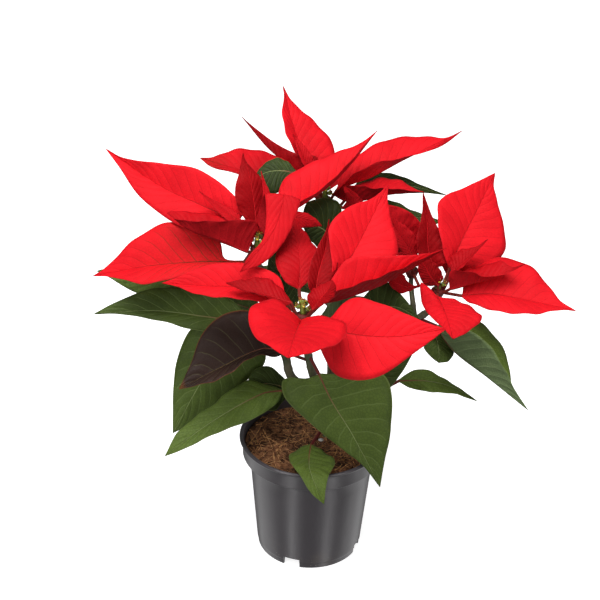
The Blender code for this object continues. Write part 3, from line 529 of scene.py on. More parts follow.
def on_limb(limb, fraction, toward):
    """A root just under the bark of a limb, on the side that faces a point."""
    points, start_radius, end_radius = LIMBS[limb]
    here, ahead = run(points, [fraction, min(fraction + 0.02, 1)])
    if fraction > 0.98:
        ahead, here = here, run(points, [fraction - 0.02])[0]
    along = (ahead - here).normalized()
    out = toward - here
    out = (out - along * out.dot(along)).normalized()
    radius = start_radius + (end_radius - start_radius) * fraction
    return here + out * (radius - BARK_DEPTH)


print("limbs", list(LIMBS), "heads", list(HEADS))

# %% [markdown]
# ## Describing a blade
#
# A leaf or bract is described by its root, the foot of its blade, a few midrib points, the tip, and a few
# points on each edge. A grid of rows and columns is laid through these lines. The plant's far side isn't
# seen, so its blades come from a heading, a rise and a size instead.

# %% Blade outlines
PETIOLE_WIDTH = 2.6
PETIOLE_THICKNESS = 2.4
STALK_ROWS = 7
BLADE_ROWS = 46
ROW_CROWDING = 1.1
STALK_BLEND = 0.1
TIP_HALF_WIDTH = 0.25
HIDDEN_FOLD = 0.25
HIDDEN_WIDTHS = {0.3: 0.72, 0.48: 1.0, 0.66: 0.78, 0.84: 0.34}


def blade(root, base, rib, tip, left, right):
    """A leaf or bract from sightings: root point, foot of the blade, midrib, tip and the two edges.

    Left and right are as seen from the root, with the upper face up.
    """
    return {"root": root, "base": spot(*base), "rib": [spot(*p) for p in rib], "tip": spot(*tip),
            "left": [spot(*p) for p in left], "right": [spot(*p) for p in right]}


def spread(root, heading, rise, length, width, droop):
    """A leaf or bract that the viewpoint hides. It points along a heading."""
    forward = compass(heading)
    leftward = UP.cross(forward)
    climb = math.radians(rise)

    def path(u):
        ahead = root + forward * (length * u * math.cos(climb))
        return ahead + UP * length * (u * math.sin(climb) - droop * u * u)

    half = width / 2
    edges = {}
    for name, sign in (("left", 1), ("right", -1)):
        edges[name] = [path(u) + leftward * (sign * half * wide) + UP * (HIDDEN_FOLD * half * wide)
                       for u, wide in HIDDEN_WIDTHS.items()]
    return {"root": root, "base": path(0.16), "rib": [path(0.4), path(0.7)], "tip": path(1),
            "left": edges["left"], "right": edges["right"]}


def sideways(first, second, along):
    """The unit direction from second to first, square to a run direction."""
    across = first - second
    return (across - along * across.dot(along)).normalized()


def blade_rows(plan):
    """Rows across a blade: midrib, left edge, right edge, share of stalk, and how far along it is."""
    base, tip, rib = plan["base"], plan["tip"], plan["rib"]
    base_along = (rib[0] - plan["root"]).normalized()
    tip_along = (tip - rib[-1]).normalized()
    base_side = sideways(plan["left"][0], plan["right"][0], base_along)
    tip_side = sideways(plan["left"][-1], plan["right"][-1], tip_along)
    half_stalk = PETIOLE_WIDTH / 2

    rows = []
    base_out, tip_out = base_side * half_stalk, tip_side * TIP_HALF_WIDTH
    for k in range(STALK_ROWS):
        reach = k / STALK_ROWS
        middle = plan["root"].lerp(base, reach)
        rows.append((middle, middle + base_out, middle - base_out, 1.0, reach - 1))

    fractions = [(k / BLADE_ROWS) ** ROW_CROWDING for k in range(BLADE_ROWS + 1)]
    ribs = run([base] + rib + [tip], fractions)
    lefts = run([base + base_out] + plan["left"] + [tip + tip_out], fractions)
    rights = run([base - base_out] + plan["right"] + [tip - tip_out], fractions)
    for u, middle, left, right in zip(fractions, ribs, lefts, rights):
        rows.append((middle, left, right, max(0, 1 - u / STALK_BLEND) ** 1.5, u))
    return rows


print("a blade has", STALK_ROWS + BLADE_ROWS, "rows")

# %% [markdown]
# ## Growing a blade
#
# `create_grid` makes a flat sheet, `extrude_face_region` turns it into a thin closed body, and then every
# vertex goes to its place on the rows. Near the root the same grid closes into a round stalk. On the way
# the blade gets what makes a leaf look alive: a margin that ripples, flesh that swells between the side
# veins, a midrib that stands out below, and a margin thinner than the middle. Solidify would give the wall
# too, but one thickness everywhere, and no stalk.

# %% The sheet that a blade is made from
HALF_COLUMNS = 9
CROSS_BOW = 0.22
NEARBY = 0.1
VERTEX_VALUES = ("from_rib", "tint_and_painted_shade", "stain", "row", "column")


def open_bmesh():
    """A bmesh with the map and the values that the blade finishes read."""
    bm = bmesh.new()
    bm.loops.layers.uv.new("leaf")
    for name in VERTEX_VALUES:
        bm.verts.layers.float.new(name)
    return bm


def faces_of(verts):
    """The faces that touch the given vertices, each once."""
    return list({face: None for vert in verts for face in vert.link_faces})


def on_rows(rows, row, across):
    """A point of the sheet. Across runs from -1 at the right edge to 1 at the left one."""
    middle, left, right = rows[row][:3]
    edge = left if across >= 0 else right
    share = abs(across)
    bow = CROSS_BOW * share * (1 - share) * (edge - middle).length
    return middle.lerp(edge, share) + UP * bow


def row_normal(rows, row, across):
    """The upward direction of the sheet at a point, from its neighbours."""
    low, high = max(row - 1, 0), min(row + 1, len(rows) - 1)
    inner, outer = max(across - NEARBY, -1), min(across + NEARBY, 1)
    along = on_rows(rows, high, across) - on_rows(rows, low, across)
    sideward = on_rows(rows, row, outer) - on_rows(rows, row, inner)
    return along.cross(sideward).normalized()


print("a blade grid has", 2 * (STALK_ROWS + BLADE_ROWS) * 2 * HALF_COLUMNS, "faces")

# %% The relief and the thickness of a blade
BLADE_THICKNESS = 0.5
MARGIN_THINNING = 0.6
RIB_HEIGHT = 1.3
RIPPLE_COUNT = 5
SWELL_EASE = 0.15
FULL_SWELL_WIDTH = 12.0


def flesh_rise(plan, pairs, phase, u, across, half_width):
    """How far the flesh stands up between the side veins, and the margin up or down with its ripples."""
    share = abs(across)
    growth = min(max(u, 0) / SWELL_EASE, 1) * min((1 - u) / SWELL_EASE, 1)
    counted = pairs * (u - share**VEIN_CURVE * VEIN_LEAN) + (OTHER_SIDE_SHIFT if across > 0 else 0)
    swell = plan["swell"] * math.cos(math.pi * (counted % 1)) ** 2 * 4 * share * (1 - share)
    wave = plan["ripple"] * share**2 * math.sin(math.tau * RIPPLE_COUNT * u + phase[across > 0])
    return (swell + wave) * growth * min(half_width / FULL_SWELL_WIDTH, 1)


def half_thickness(stalk, u, column, share, reach, above):
    """Half the body's thickness: less towards the margin, round on the stalk, and more under the midrib."""
    flat = BLADE_THICKNESS / 2 * (1 - MARGIN_THINNING * share**2)
    half = flat + (PETIOLE_THICKNESS / 2 * max(math.cos(column * math.pi / 2), 0.03) - flat) * stalk
    if not above:
        half += RIB_HEIGHT * (1 - stalk) * max(1 - u, 0) ** 0.8 * math.exp(-(reach / RIB_HALF_WIDTH) ** 2)
    return half


print("a blade is", BLADE_THICKNESS, "mm thick beside its midrib")

# %% Grow one blade
COLUMN_CROWDING = 1.4
TINT_DRIFT = 0.05
# How a blade looks where its own plan doesn't say otherwise. A stain past the tip, at 2, never shows.
# The tint below is painted shade on the underside, and painted light where it is set high.
PLAIN_BLADE = {"tint_and_painted_shade": 0.5, "underside_painted_shade": 0.3, "stain": (2, 3), "ripple": 0.7, "swell": 0.35}


def lay_sheet(bm, last):
    """A flat closed sheet with a row number and a column on each vertex: its lower and its upper vertices."""
    row_of, column_of = bm.verts.layers.float["row"], bm.verts.layers.float["column"]
    under = bmesh.ops.create_grid(bm, x_segments=last, y_segments=2 * HALF_COLUMNS, size=1)["verts"]
    for vert in under:
        vert[row_of] = round((vert.co.x + 1) / 2 * last)
        vert[column_of] = vert.co.y
    copies = bmesh.ops.extrude_face_region(bm, geom=faces_of(under), use_keep_orig=True)["geom"]
    upper = [thing for thing in copies if isinstance(thing, bmesh.types.BMVert)]
    bmesh.ops.translate(bm, verts=upper, vec=UP)
    return under, upper


def grow_blade(bm, plan, pairs):
    """Add a blade on its stalk, with so many pairs of side veins. Its finishes are 0 above and 1 below."""
    plan = PLAIN_BLADE | plan
    uv = bm.loops.layers.uv["leaf"]
    from_rib, tint_and_painted_shade, stain, row_of, column_of = (bm.verts.layers.float[name] for name in VERTEX_VALUES)
    rows = blade_rows(plan)
    phase = [chance.uniform(0, math.tau), chance.uniform(0, math.tau)]
    # The blade's brightness, partly its own tone and partly painted shade, with a little random drift.
    shade = plan["tint_and_painted_shade"] + chance.uniform(-TINT_DRIFT, TINT_DRIFT)
    bare, stained = plan["stain"]

    under, upper = lay_sheet(bm, len(rows) - 1)
    lifted = set(upper)
    made_faces = faces_of(under + upper)
    bmesh.ops.recalc_face_normals(bm, faces=made_faces)
    for face in made_faces:
        face.smooth = True
        face.material_index = 0 if all(vert in lifted for vert in face.verts) else 1
    for vert in under + upper:
        row, column = int(vert[row_of]), vert[column_of]
        above = vert in lifted
        stalk, u = rows[row][3:]
        spaced = math.copysign(abs(column) ** COLUMN_CROWDING, column)
        across = spaced + (math.sin(column * math.pi / 2) - spaced) * stalk
        edge = rows[row][1] if across >= 0 else rows[row][2]
        half_width = (edge - rows[row][0]).length
        reach = abs(across) * half_width
        rise = flesh_rise(plan, pairs, phase, u, across, half_width)
        half = half_thickness(stalk, u, column, abs(across), reach, above)
        lift = rise + (half if above else -half)
        vert.co = on_rows(rows, row, across) + row_normal(rows, row, across) * lift
        vert[from_rib] = reach
        # Upper faces take the blade's tint; lower faces take the tint below, which is painted shade, or
        # painted light where set high.
        vert[tint_and_painted_shade] = shade if above else plan["underside_painted_shade"]
        vert[stain] = min(max((u - bare) / (stained - bare), 0), 1)
        vert[column_of] = across
    for face in made_faces:
        for loop in face.loops:
            u = rows[int(loop.vert[row_of])][4]
            u = STALK_UV * (1 + u) if u < 0 else STALK_UV + (1 - STALK_UV) * u
            loop[uv].uv = (u, (1 + loop.vert[column_of]) / 2)


print("a plain blade looks like", PLAIN_BLADE)

# %% [markdown]
# ## The bracts
#
# Each head's bracts grow from one short, round hub, so they are one piece. Every line below is one bract as
# it is seen: foot, midrib, tip, left edge, right edge. Writing them out keeps the folds and overlaps of
# this very plant, which a ring of equal bracts wouldn't have.

# %% Where the bracts are
ROOT_DROP = 3.5
ROOT_OUT = 4.0


def hub_root(head, toward):
    """A root inside the hub of a head, on the side that faces a point."""
    out = toward - HEADS[head]
    out.z = 0
    return HEADS[head] - UP * ROOT_DROP + out.normalized() * ROOT_OUT


def bract(head, *sightings):
    """A bract whose stalk starts in the hub of its head."""
    made = blade(Vector((0, 0, 0)), *sightings)
    made["root"] = hub_root(head, made["base"])
    return made


def hidden_bract(head, heading, rise, length, width, droop):
    """A bract on the far side of its head."""
    toward = HEADS[head] + compass(heading)
    return spread(hub_root(head, toward), heading, rise, length, width, droop)


BRACTS = {}


def shade_bracts(head, *tints):
    """Give each bract of a head its brightness, from 0 for the darkest to 1 for the brightest: partly its own
    tone, partly painted shade.
    """
    for made, tint_and_painted_shade in zip(BRACTS[head], tints, strict=True):
        made["tint_and_painted_shade"] = tint_and_painted_shade
    print(head, "head with", len(tints), "bracts")


print("bracts start", ROOT_OUT, "mm from the middle of their head")

# %% [markdown]
# ## The left head
#
# This head leans out over the left leaves. One broad bract points left, one is curled over the middle like
# a tongue, and one stretches far to the right, in front of the back head. The broad one turned red last, so
# its veins are still green-brown near its foot.

# %% The left head's bracts
BRACTS["left"] = [
    bract("left", (238, 222, -10), [(205, 207, -2), (160, 186, 8)], (106, 149, 20),
          [(222, 236, -14), (180, 226, -6), (140, 197, 4), (119, 167, 14)],
          [(243, 214, -11), (238, 199, -11), (200, 170, -4), (160, 163, 4), (124, 158, 14)]),
    bract("left", (248, 252, -20), [(218, 240, -22), (190, 230, -24)], (167, 213, -24),
          [(257, 222, -27), (220, 221, -28), (192, 221, -28), (175, 219, -26)],
          [(238, 219, -12), (215, 214, -12), (190, 212, -16), (173, 211, -21)]),
    bract("left", (242, 224, -15), [(226, 212, -14), (212, 201, -13)], (199, 191, -12),
          [(232, 224, -17), (218, 212, -16), (207, 200, -14)],
          [(237, 213, -13), (222, 204, -12), (208, 197, -12)]),
    bract("left", (244, 262, -12), [(222, 262, -9), (200, 262, -8), (150, 266, -2)], (93, 276, 6),
          [(224, 264, -12), (212, 265, -14), (180, 276, -18), (145, 284, -16), (112, 277, -4)],
          [(224, 258, -9), (219, 240, -8), (172, 222, -2), (135, 239, 4), (105, 268, 6)]),
    bract("left", (267, 236, -27), [(272, 212, -29), (284, 195, -37), (273, 232, -45)], (240, 272, -50),
          [(274, 236, -29), (286, 211, -31), (300, 200, -38), (287, 237, -45), (265, 262, -49)],
          [(257, 225, -25), (260, 206, -29), (265, 194, -38), (264, 236, -45), (248, 257, -49)]),
    bract("left", (257, 238, -12), [(254, 204, -12), (249, 175, -12)], (243, 153, -8),
          [(248, 224, -13), (237, 206, -15), (235, 189, -15), (239, 172, -12)],
          [(265, 228, -9), (267, 204, -6), (260, 177, -8), (247, 163, -8)]),
    bract("left", (277, 218, -6), [(305, 203, 0), (340, 176, 6)], (377, 131, 14),
          [(281, 184, 2), (297, 170, 8), (330, 155, 14), (362, 142, 14)],
          [(292, 207, -6), (320, 190, -3), (346, 166, 2), (365, 144, 10)]),
    bract("left", (277, 228, -8), [(292, 219, -4), (307, 220, 0)], (322, 226, 2),
          [(288, 213, -4), (303, 212, 0), (315, 218, 2)],
          [(290, 230, -6), (303, 228, -1), (314, 227, 2)]),
    bract("left", (266, 222, -16), [(267, 203, -20), (265, 188, -19)], (261, 171, -18),
          [(262, 208, -20), (263, 193, -20), (262, 181, -18)],
          [(272, 208, -18), (270, 193, -18), (265, 181, -18)]),
]
# Each bract's brightness: partly its own tone, partly painted shade where it sits in shade.
shade_bracts("left", 0.8, 0.45, 0.45, 0.75, 0.55, 0.05, 0.8, 0.5, 0.45)
dark, broad, curled, stretched = (BRACTS["left"][k] for k in (1, 3, 4, 6))
# The dark bract's lower half is painted darker as shade.
dark["underside_painted_shade"] = 0.2
broad["stain"] = (0.75, 0.1)
curled["swell"] = 0.05
curled["ripple"] = 0.2
# The stretched bract's underside is painted light, as if light shone through it.
stretched["underside_painted_shade"] = 0.85

# %% [markdown]
# ## The front head
#
# The nearest head shows its bracts from above: a heart-shaped one that hangs towards the viewer, a broad
# one to the right whose flesh is puckered between the veins, and tall ones behind the flowers.

# %% The front head's bracts
BRACTS["front"] = [
    bract("front", (286, 303, -50), [(250, 289, -44), (205, 286, -38)], (162, 283, -34),
          [(272, 304, -54), (240, 299, -54), (200, 295, -46), (175, 286, -38)],
          [(278, 276, -46), (240, 263, -40), (205, 266, -36), (178, 277, -35)]),
    bract("front", (291, 303, -60), [(272, 297, -60), (246, 291, -58)], (226, 283, -56),
          [(283, 306, -64), (265, 296, -66), (245, 291, -62)],
          [(284, 291, -54), (266, 278, -52), (240, 280, -54)]),
    bract("front", (301, 321, -66), [(296, 332, -98), (292, 344, -128)], (288, 358, -152),
          [(308, 317, -70), (330, 317, -80), (347, 326, -96), (340, 342, -118), (310, 353, -140)],
          [(293, 312, -70), (273, 299, -78), (250, 309, -92), (253, 334, -114), (275, 350, -138)]),
    bract("front", (299, 289, -47), [(300, 262, -40), (296, 237, -26)], (290, 214, -13),
          [(286, 282, -50), (276, 264, -43), (279, 242, -29), (284, 226, -18)],
          [(308, 281, -46), (318, 255, -34), (308, 236, -22), (297, 222, -15)]),
    bract("front", (320, 326, -68), [(350, 334, -78), (395, 337, -86)], (446, 329, -92),
          [(332, 316, -68), (352, 298, -72), (385, 305, -80), (425, 322, -89)],
          [(320, 348, -74), (338, 376, -80), (375, 378, -88), (420, 349, -92)]),
    bract("front", (322, 303, -57), [(352, 296, -50), (386, 283, -42)], (446, 248, -34),
          [(333, 277, -52), (350, 258, -50), (392, 256, -46), (430, 253, -38)],
          [(336, 292, -62), (358, 284, -60), (392, 272, -54), (428, 256, -40)]),
    bract("front", (332, 284, -46), [(350, 259, -38), (370, 221, -26)], (388, 185, -14),
          [(332, 262, -46), (329, 228, -40), (345, 209, -32), (374, 197, -20)],
          [(366, 277, -44), (397, 256, -36), (393, 226, -26), (388, 203, -18)]),
    bract("front", (315, 296, -51), [(318, 275, -47), (325, 250, -38)], (329, 219, -28),
          [(308, 285, -54), (310, 264, -48), (319, 244, -40), (326, 230, -32)],
          [(328, 285, -50), (338, 265, -44), (333, 243, -36), (330, 230, -31)]),
    bract("front", (313, 309, -66), [(320, 299, -69), (328, 289, -69)], (332, 280, -67),
          [(307, 298, -66), (313, 289, -64), (325, 283, -64)],
          [(323, 305, -67), (334, 297, -66), (336, 286, -66)]),
]
# Each bract's brightness: partly its own tone, partly painted shade where it sits in shade.
shade_bracts("front", 0.8, 0.2, 0.75, 0.32, 0.9, 0.75, 0.8, 0.0, 0.2)
puckered = BRACTS["front"][4]
puckered["swell"] = 0.7

# %% [markdown]
# ## The back head
#
# The highest head stands behind the others. Its left bract is green-brown at the tip, and two on the right
# are folded so far that they show their undersides, which are painted darker as shade.

# %% The back head's bracts
BRACTS["back"] = [
    bract("back", (318, 180, 37), [(302, 150, 42), (292, 122, 48)], (283, 86, 56),
          [(300, 160, 36), (287, 136, 36), (282, 112, 44), (284, 96, 52)],
          [(334, 158, 44), (332, 142, 48), (313, 120, 52), (292, 101, 54)]),
    bract("back", (308, 184, 34), [(288, 166, 36), (266, 146, 42)], (242, 117, 50),
          [(300, 166, 48), (284, 152, 52), (262, 137, 52), (250, 126, 51)],
          [(318, 158, 30), (298, 154, 32), (277, 144, 38), (254, 127, 46)]),
    bract("back", (300, 183, 28), [(268, 177, 24), (236, 169, 22)], (200, 158, 22),
          [(284, 187, 27), (256, 179, 23), (230, 172, 20), (211, 167, 20)],
          [(284, 160, 36), (262, 151, 36), (236, 149, 32), (213, 157, 25)]),
    bract("back", (337, 190, 33), [(352, 183, 33), (370, 177, 34), (405, 159, 40)], (462, 131, 54),
          [(341, 176, 36), (349, 164, 38), (362, 152, 44), (386, 140, 50), (420, 136, 54), (446, 138, 55)],
          [(346, 182, 27), (356, 173, 24), (376, 163, 26), (402, 158, 34), (440, 147, 49)]),
    bract("back", (334, 194, 31), [(347, 200, 28), (366, 199, 26), (390, 194, 24)], (424, 192, 22),
          [(344, 190, 35), (358, 185, 38), (378, 178, 40), (402, 181, 34), (415, 189, 26)],
          [(343, 187, 22), (356, 185, 18), (374, 188, 14), (398, 189, 18), (412, 191, 20)]),
    bract("back", (312, 172, 32), [(304, 158, 30), (299, 147, 30)], (293, 134, 32),
          [(303, 164, 28), (298, 152, 28), (295, 142, 30)],
          [(314, 160, 30), (308, 150, 30), (300, 141, 31)]),
    bract("back", (343, 208, 29), [(353, 204, 21), (353, 196, 15)], (344, 186, 12),
          [(346, 202, 24), (347, 196, 16), (344, 191, 12)],
          [(356, 209, 24), (363, 202, 17), (354, 192, 12)]),
    hidden_bract("back", 182, 0, 84, 40, 0.14),
]
# Each bract's brightness: partly its own tone, partly painted shade where it sits in shade.
shade_bracts("back", 0.75, 0.0, 0.5, 0.75, 0.6, 0.45, 0.4, 0.6)
browned, folded, low_folded = BRACTS["back"][2:5]
browned["stain"] = (0.7, 1.0)
# The two folded bracts' undersides are painted darker as shade.
folded["underside_painted_shade"] = 0.6
low_folded["underside_painted_shade"] = 0.2

# %% [markdown]
# ## The inner head
#
# A small, young head sits between the front head and the right one, mostly in their shade, which is
# painted into its bracts as darker red. Little more than a few dark bracts can be seen.

# %% The inner head's bracts
BRACTS["inner"] = [
    bract("inner", (408, 250, 29), [(404, 236, 23), (392, 221, 17)], (376, 203, 11),
          [(396, 252, 25), (388, 239, 18), (378, 220, 12)],
          [(424, 247, 27), (421, 224, 22), (404, 209, 17)]),
    bract("inner", (414, 258, 11), [(405, 243, 7), (397, 231, 5)], (388, 216, 2),
          [(404, 254, 8), (396, 242, 4), (391, 228, 2)],
          [(420, 248, 9), (413, 233, 6), (401, 223, 4)]),
    bract("inner", (419, 286, 16), [(407, 287, 4), (396, 283, -4)], (384, 274, -8),
          [(410, 291, -2), (400, 293, -8), (391, 286, -10)],
          [(410, 284, 12), (403, 275, 7), (393, 270, 0)]),
    hidden_bract("inner", 190, 8, 80, 38, 0.14),
]
# Low brightness here is mostly painted shade.
shade_bracts("inner", 0.5, 0.35, 0.0, 0.6)

# %% [markdown]
# ## The right head
#
# This head leans out to the right. Its longest bract points away from the plant, one drops in front of the
# stem, and a few narrow ones, painted dark as shade, stand up between the inner head and the tall bright
# bract.

# %% The right head's bracts
BRACTS["right"] = [
    bract("right", (450, 268, 8), [(462, 240, 14), (478, 208, 24)], (495, 173, 34),
          [(444, 254, 4), (438, 222, 6), (440, 200, 14), (470, 185, 26)],
          [(482, 272, 10), (505, 250, 18), (501, 214, 26), (494, 188, 32)]),
    bract("right", (462, 296, 2), [(490, 294, -4), (530, 301, -10)], (576, 311, -16),
          [(466, 276, 8), (492, 258, 12), (530, 266, 6), (560, 300, -10)],
          [(470, 303, -8), (500, 312, -22), (535, 314, -24), (562, 310, -18)]),
    bract("right", (450, 289, -2), [(468, 284, -6), (492, 278, -10)], (525, 264, -14),
          [(456, 268, 4), (478, 267, 4), (500, 261, -4), (513, 267, -11)],
          [(450, 272, -12), (466, 271, -16), (488, 277, -15), (508, 273, -14)]),
    bract("right", (437, 297, -16), [(443, 308, -32), (448, 321, -48)], (453, 339, -64),
          [(448, 298, -18), (466, 304, -28), (482, 318, -44), (466, 333, -58)],
          [(422, 282, -10), (421, 300, -22), (429, 315, -38), (443, 328, -54)]),
    bract("right", (452, 272, 0), [(464, 262, -2), (475, 252, -3)], (488, 239, -4),
          [(449, 261, 4), (460, 250, 3), (475, 247, 0)],
          [(459, 270, -5), (470, 260, -6), (480, 248, -5)]),
    bract("right", (434, 268, 11), [(428, 248, 10), (427, 222, 10)], (423, 192, 14),
          [(422, 264, 7), (417, 240, 4), (422, 213, 9)],
          [(446, 264, 8), (443, 240, 8), (431, 213, 9)]),
    bract("right", (438, 285, -2), [(431, 277, -8), (426, 268, -10)], (420, 258, -12),
          [(425, 285, -6), (418, 271, -10)],
          [(443, 277, -4), (436, 264, -8)]),
    hidden_bract("right", 148, 14, 92, 42, 0.14),
]
# Each bract's brightness: partly its own tone, partly painted shade where it sits in shade.
shade_bracts("right", 0.75, 0.85, 0.3, 0.8, 0.2, 0.0, 0.0, 0.6)
winged = BRACTS["right"][2]
# The winged bract's underside is painted darker as shade.
winged["underside_painted_shade"] = 0.4

# %% [markdown]
# ## Building the heads
#
# The hub is a short spun body. Its outline is a few points, and `spin` turns it round the head's upright
# axis. A sphere would be quicker, but the hub has a flat foot that sits on its limb. The blades then join
# the same mesh. They overlap inside the hub, where nobody sees them.

# %% Grow the bracts
HUB_RADIUS = 5.6
HUB = [(0, -HUB_HEIGHT), (HUB_RADIUS * 0.62, -HUB_HEIGHT), (HUB_RADIUS * 0.82, -HUB_HEIGHT * 0.7),
       (HUB_RADIUS, -HUB_HEIGHT * 0.3), (HUB_RADIUS * 0.85, -0.6), (HUB_RADIUS * 0.5, 0), (0, 0)]
hub_skin = blade_finish("hub_skin", LEAF, 0.5, 0.0, 0.2, 0.2)


def turned(bm, profile, sides, place=Matrix.Identity(4)):
    """Spin a profile of (radius, height) that starts and ends on the axis, and close it."""
    line = [bm.verts.new((radius, 0, height)) for radius, height in profile]
    edges = [bm.edges.new(pair) for pair in zip(line, line[1:])]
    before = set(bm.verts) - set(line)
    bmesh.ops.spin(bm, geom=line + edges, cent=(0, 0, 0), axis=(0, 0, 1), angle=math.tau,
                   steps=sides, use_merge=True)
    bmesh.ops.remove_doubles(bm, verts=[vert for vert in bm.verts if vert not in before], dist=0.01)
    verts = [vert for vert in bm.verts if vert not in before]
    made = faces_of(verts)
    bmesh.ops.recalc_face_normals(bm, faces=made)
    for face in made:
        face.smooth = True
    bmesh.ops.transform(bm, matrix=place, verts=verts)
    return made


for head, plans in BRACTS.items():
    bm = open_bmesh()
    for face in turned(bm, HUB, 20, Matrix.Translation(HEADS[head])):
        face.material_index = 2
    for plan in plans:
        grow_blade(bm, plan, BRACT_PAIRS)
    add_piece(f"bracts_{head}_grown", bm, [*bract_pair, hub_skin], "bracts_" + head)

# %% [markdown]
# ## The green leaves
#
# A leaf's stalk starts at a limb, a given part of the way along it. Each entry names the limb and how far
# along it, then the foot of the blade, the midrib, the tip, the left edge and the right edge. Leaves
# scattered by a rule would be quicker, but every leaf of a real plant hangs in its own way, and these are
# the ones that show.

# %% How a leaf is described


def leaf(limb, fraction, *sightings):
    """A green leaf whose stalk starts at a limb."""
    made = blade(Vector((0, 0, 0)), *sightings)
    made["root"] = on_limb(limb, fraction, made["base"])
    return made


def hidden_leaf(limb, fraction, heading, rise, length, width, droop):
    """A green leaf on the far side of the plant."""
    toward = run(LIMBS[limb][0], [fraction])[0] + compass(heading) * 50
    return spread(on_limb(limb, fraction, toward), heading, rise, length, width, droop)


LEAVES = {}
print("leaves hang on the limbs", list(LIMBS))

# %% The leaves on the left
LEAVES |= {
    "leaf_left_top": leaf(
        "left", 0.74, (244, 282, 20), [(190, 280, 34), (140, 275, 38)], (97, 271, 40),
        [(225, 291, 32), (180, 296, 40), (137, 293, 40), (110, 278, 40)],
        [(225, 270, 28), (185, 262, 36), (145, 261, 39), (115, 266, 40)]),
    "leaf_left_upper": leaf(
        "left", 0.52, (252, 321, 20), [(215, 318, 18), (155, 311, 14)], (94, 314, 8),
        [(236, 332, 14), (200, 331, 8), (160, 321, 8), (118, 314, 9)],
        [(230, 299, 20), (195, 288, 18), (150, 289, 15), (112, 304, 11)]),
    "leaf_left_purple": leaf(
        "front", 0.42, (284, 352, 4), [(262, 349, 0), (218, 369, -8)], (179, 389, -14),
        [(276, 357, 0), (255, 356, -12), (222, 378, -22), (195, 386, -18)],
        [(276, 325, 2), (240, 310, 4), (207, 327, -2), (188, 370, -10)]),
    "leaf_left_hanging": leaf(
        "left", 0.54, (262, 324, 30), [(238, 338, 38), (204, 378, 50)], (173, 433, 54),
        [(264, 342, 38), (264, 364, 52), (232, 392, 58), (190, 424, 56)],
        [(232, 312, 38), (192, 328, 46), (176, 364, 52), (173, 400, 54)]),
    "leaf_left_low": leaf(
        "trunk", 0.84, (282, 391, 40), [(262, 394, 36), (215, 420, 30)], (165, 456, 24),
        [(278, 402, 38), (255, 418, 28), (215, 434, 22), (182, 450, 22)],
        [(270, 385, 44), (246, 381, 42), (212, 405, 38), (178, 432, 30)]),
    "leaf_left_small": leaf(
        "trunk", 0.79, (291, 391, 58), [(276, 385, 52), (262, 384, 49)], (246, 394, 52),
        [(285, 399, 57), (273, 411, 57), (256, 404, 54)],
        [(284, 378, 54), (268, 366, 50), (252, 372, 49)]),
}
print("leaves so far", len(LEAVES))

# %% The leaves in front and on the right
LEAVES |= {
    "leaf_front_large": leaf(
        "front", 0.46, (319, 374, 20), [(331, 400, 22), (352, 434, 25)], (380, 487, 32),
        [(346, 374, 18), (374, 368, 18), (390, 385, 19), (391, 428, 24), (383, 470, 30)],
        [(308, 378, 23), (283, 380, 25), (285, 398, 25), (323, 434, 24), (362, 465, 29)]),
    "leaf_over_rim": leaf(
        "trunk", 0.70, (311, 445, 50), [(309, 458, 38), (311, 474, 16)], (324, 504, 10),
        [(320, 449, 47), (335, 461, 34), (329, 475, 14), (326, 487, 10)],
        [(303, 446, 50), (289, 457, 39), (301, 477, 15), (311, 493, 10)]),
    "leaf_right_low": leaf(
        "trunk", 0.84, (352, 390, 62), [(370, 380, 54), (392, 369, 51)], (412, 355, 50),
        [(360, 375, 62), (374, 362, 58), (396, 357, 52)],
        [(364, 397, 56), (384, 393, 51), (401, 374, 49)]),
    "leaf_right_narrow": leaf(
        "trunk", 0.76, (399, 381, 70), [(425, 381, 63), (452, 387, 55)], (477, 401, 47),
        [(408, 373, 72), (424, 369, 69), (450, 382, 60), (468, 394, 51)],
        [(410, 388, 66), (430, 392, 56), (455, 394, 50), (470, 399, 47)]),
    "leaf_right_folded": leaf(
        "right", 0.80, (437, 326, 14), [(454, 350, 8), (488, 377, 4)], (528, 410, 4),
        [(456, 316, 24), (484, 325, 28), (506, 354, 20), (512, 384, 10)],
        [(450, 324, 2), (482, 338, -8), (500, 361, -8), (517, 393, 0)]),
    "leaf_right_small": leaf(
        "right", 0.72, (433, 330, 30), [(437, 341, 24), (439, 352, 20)], (439, 363, 18),
        [(444, 336, 26), (454, 350, 22), (449, 361, 19)],
        [(426, 338, 28), (424, 348, 23), (432, 358, 20)]),
}
print("leaves so far", len(LEAVES))

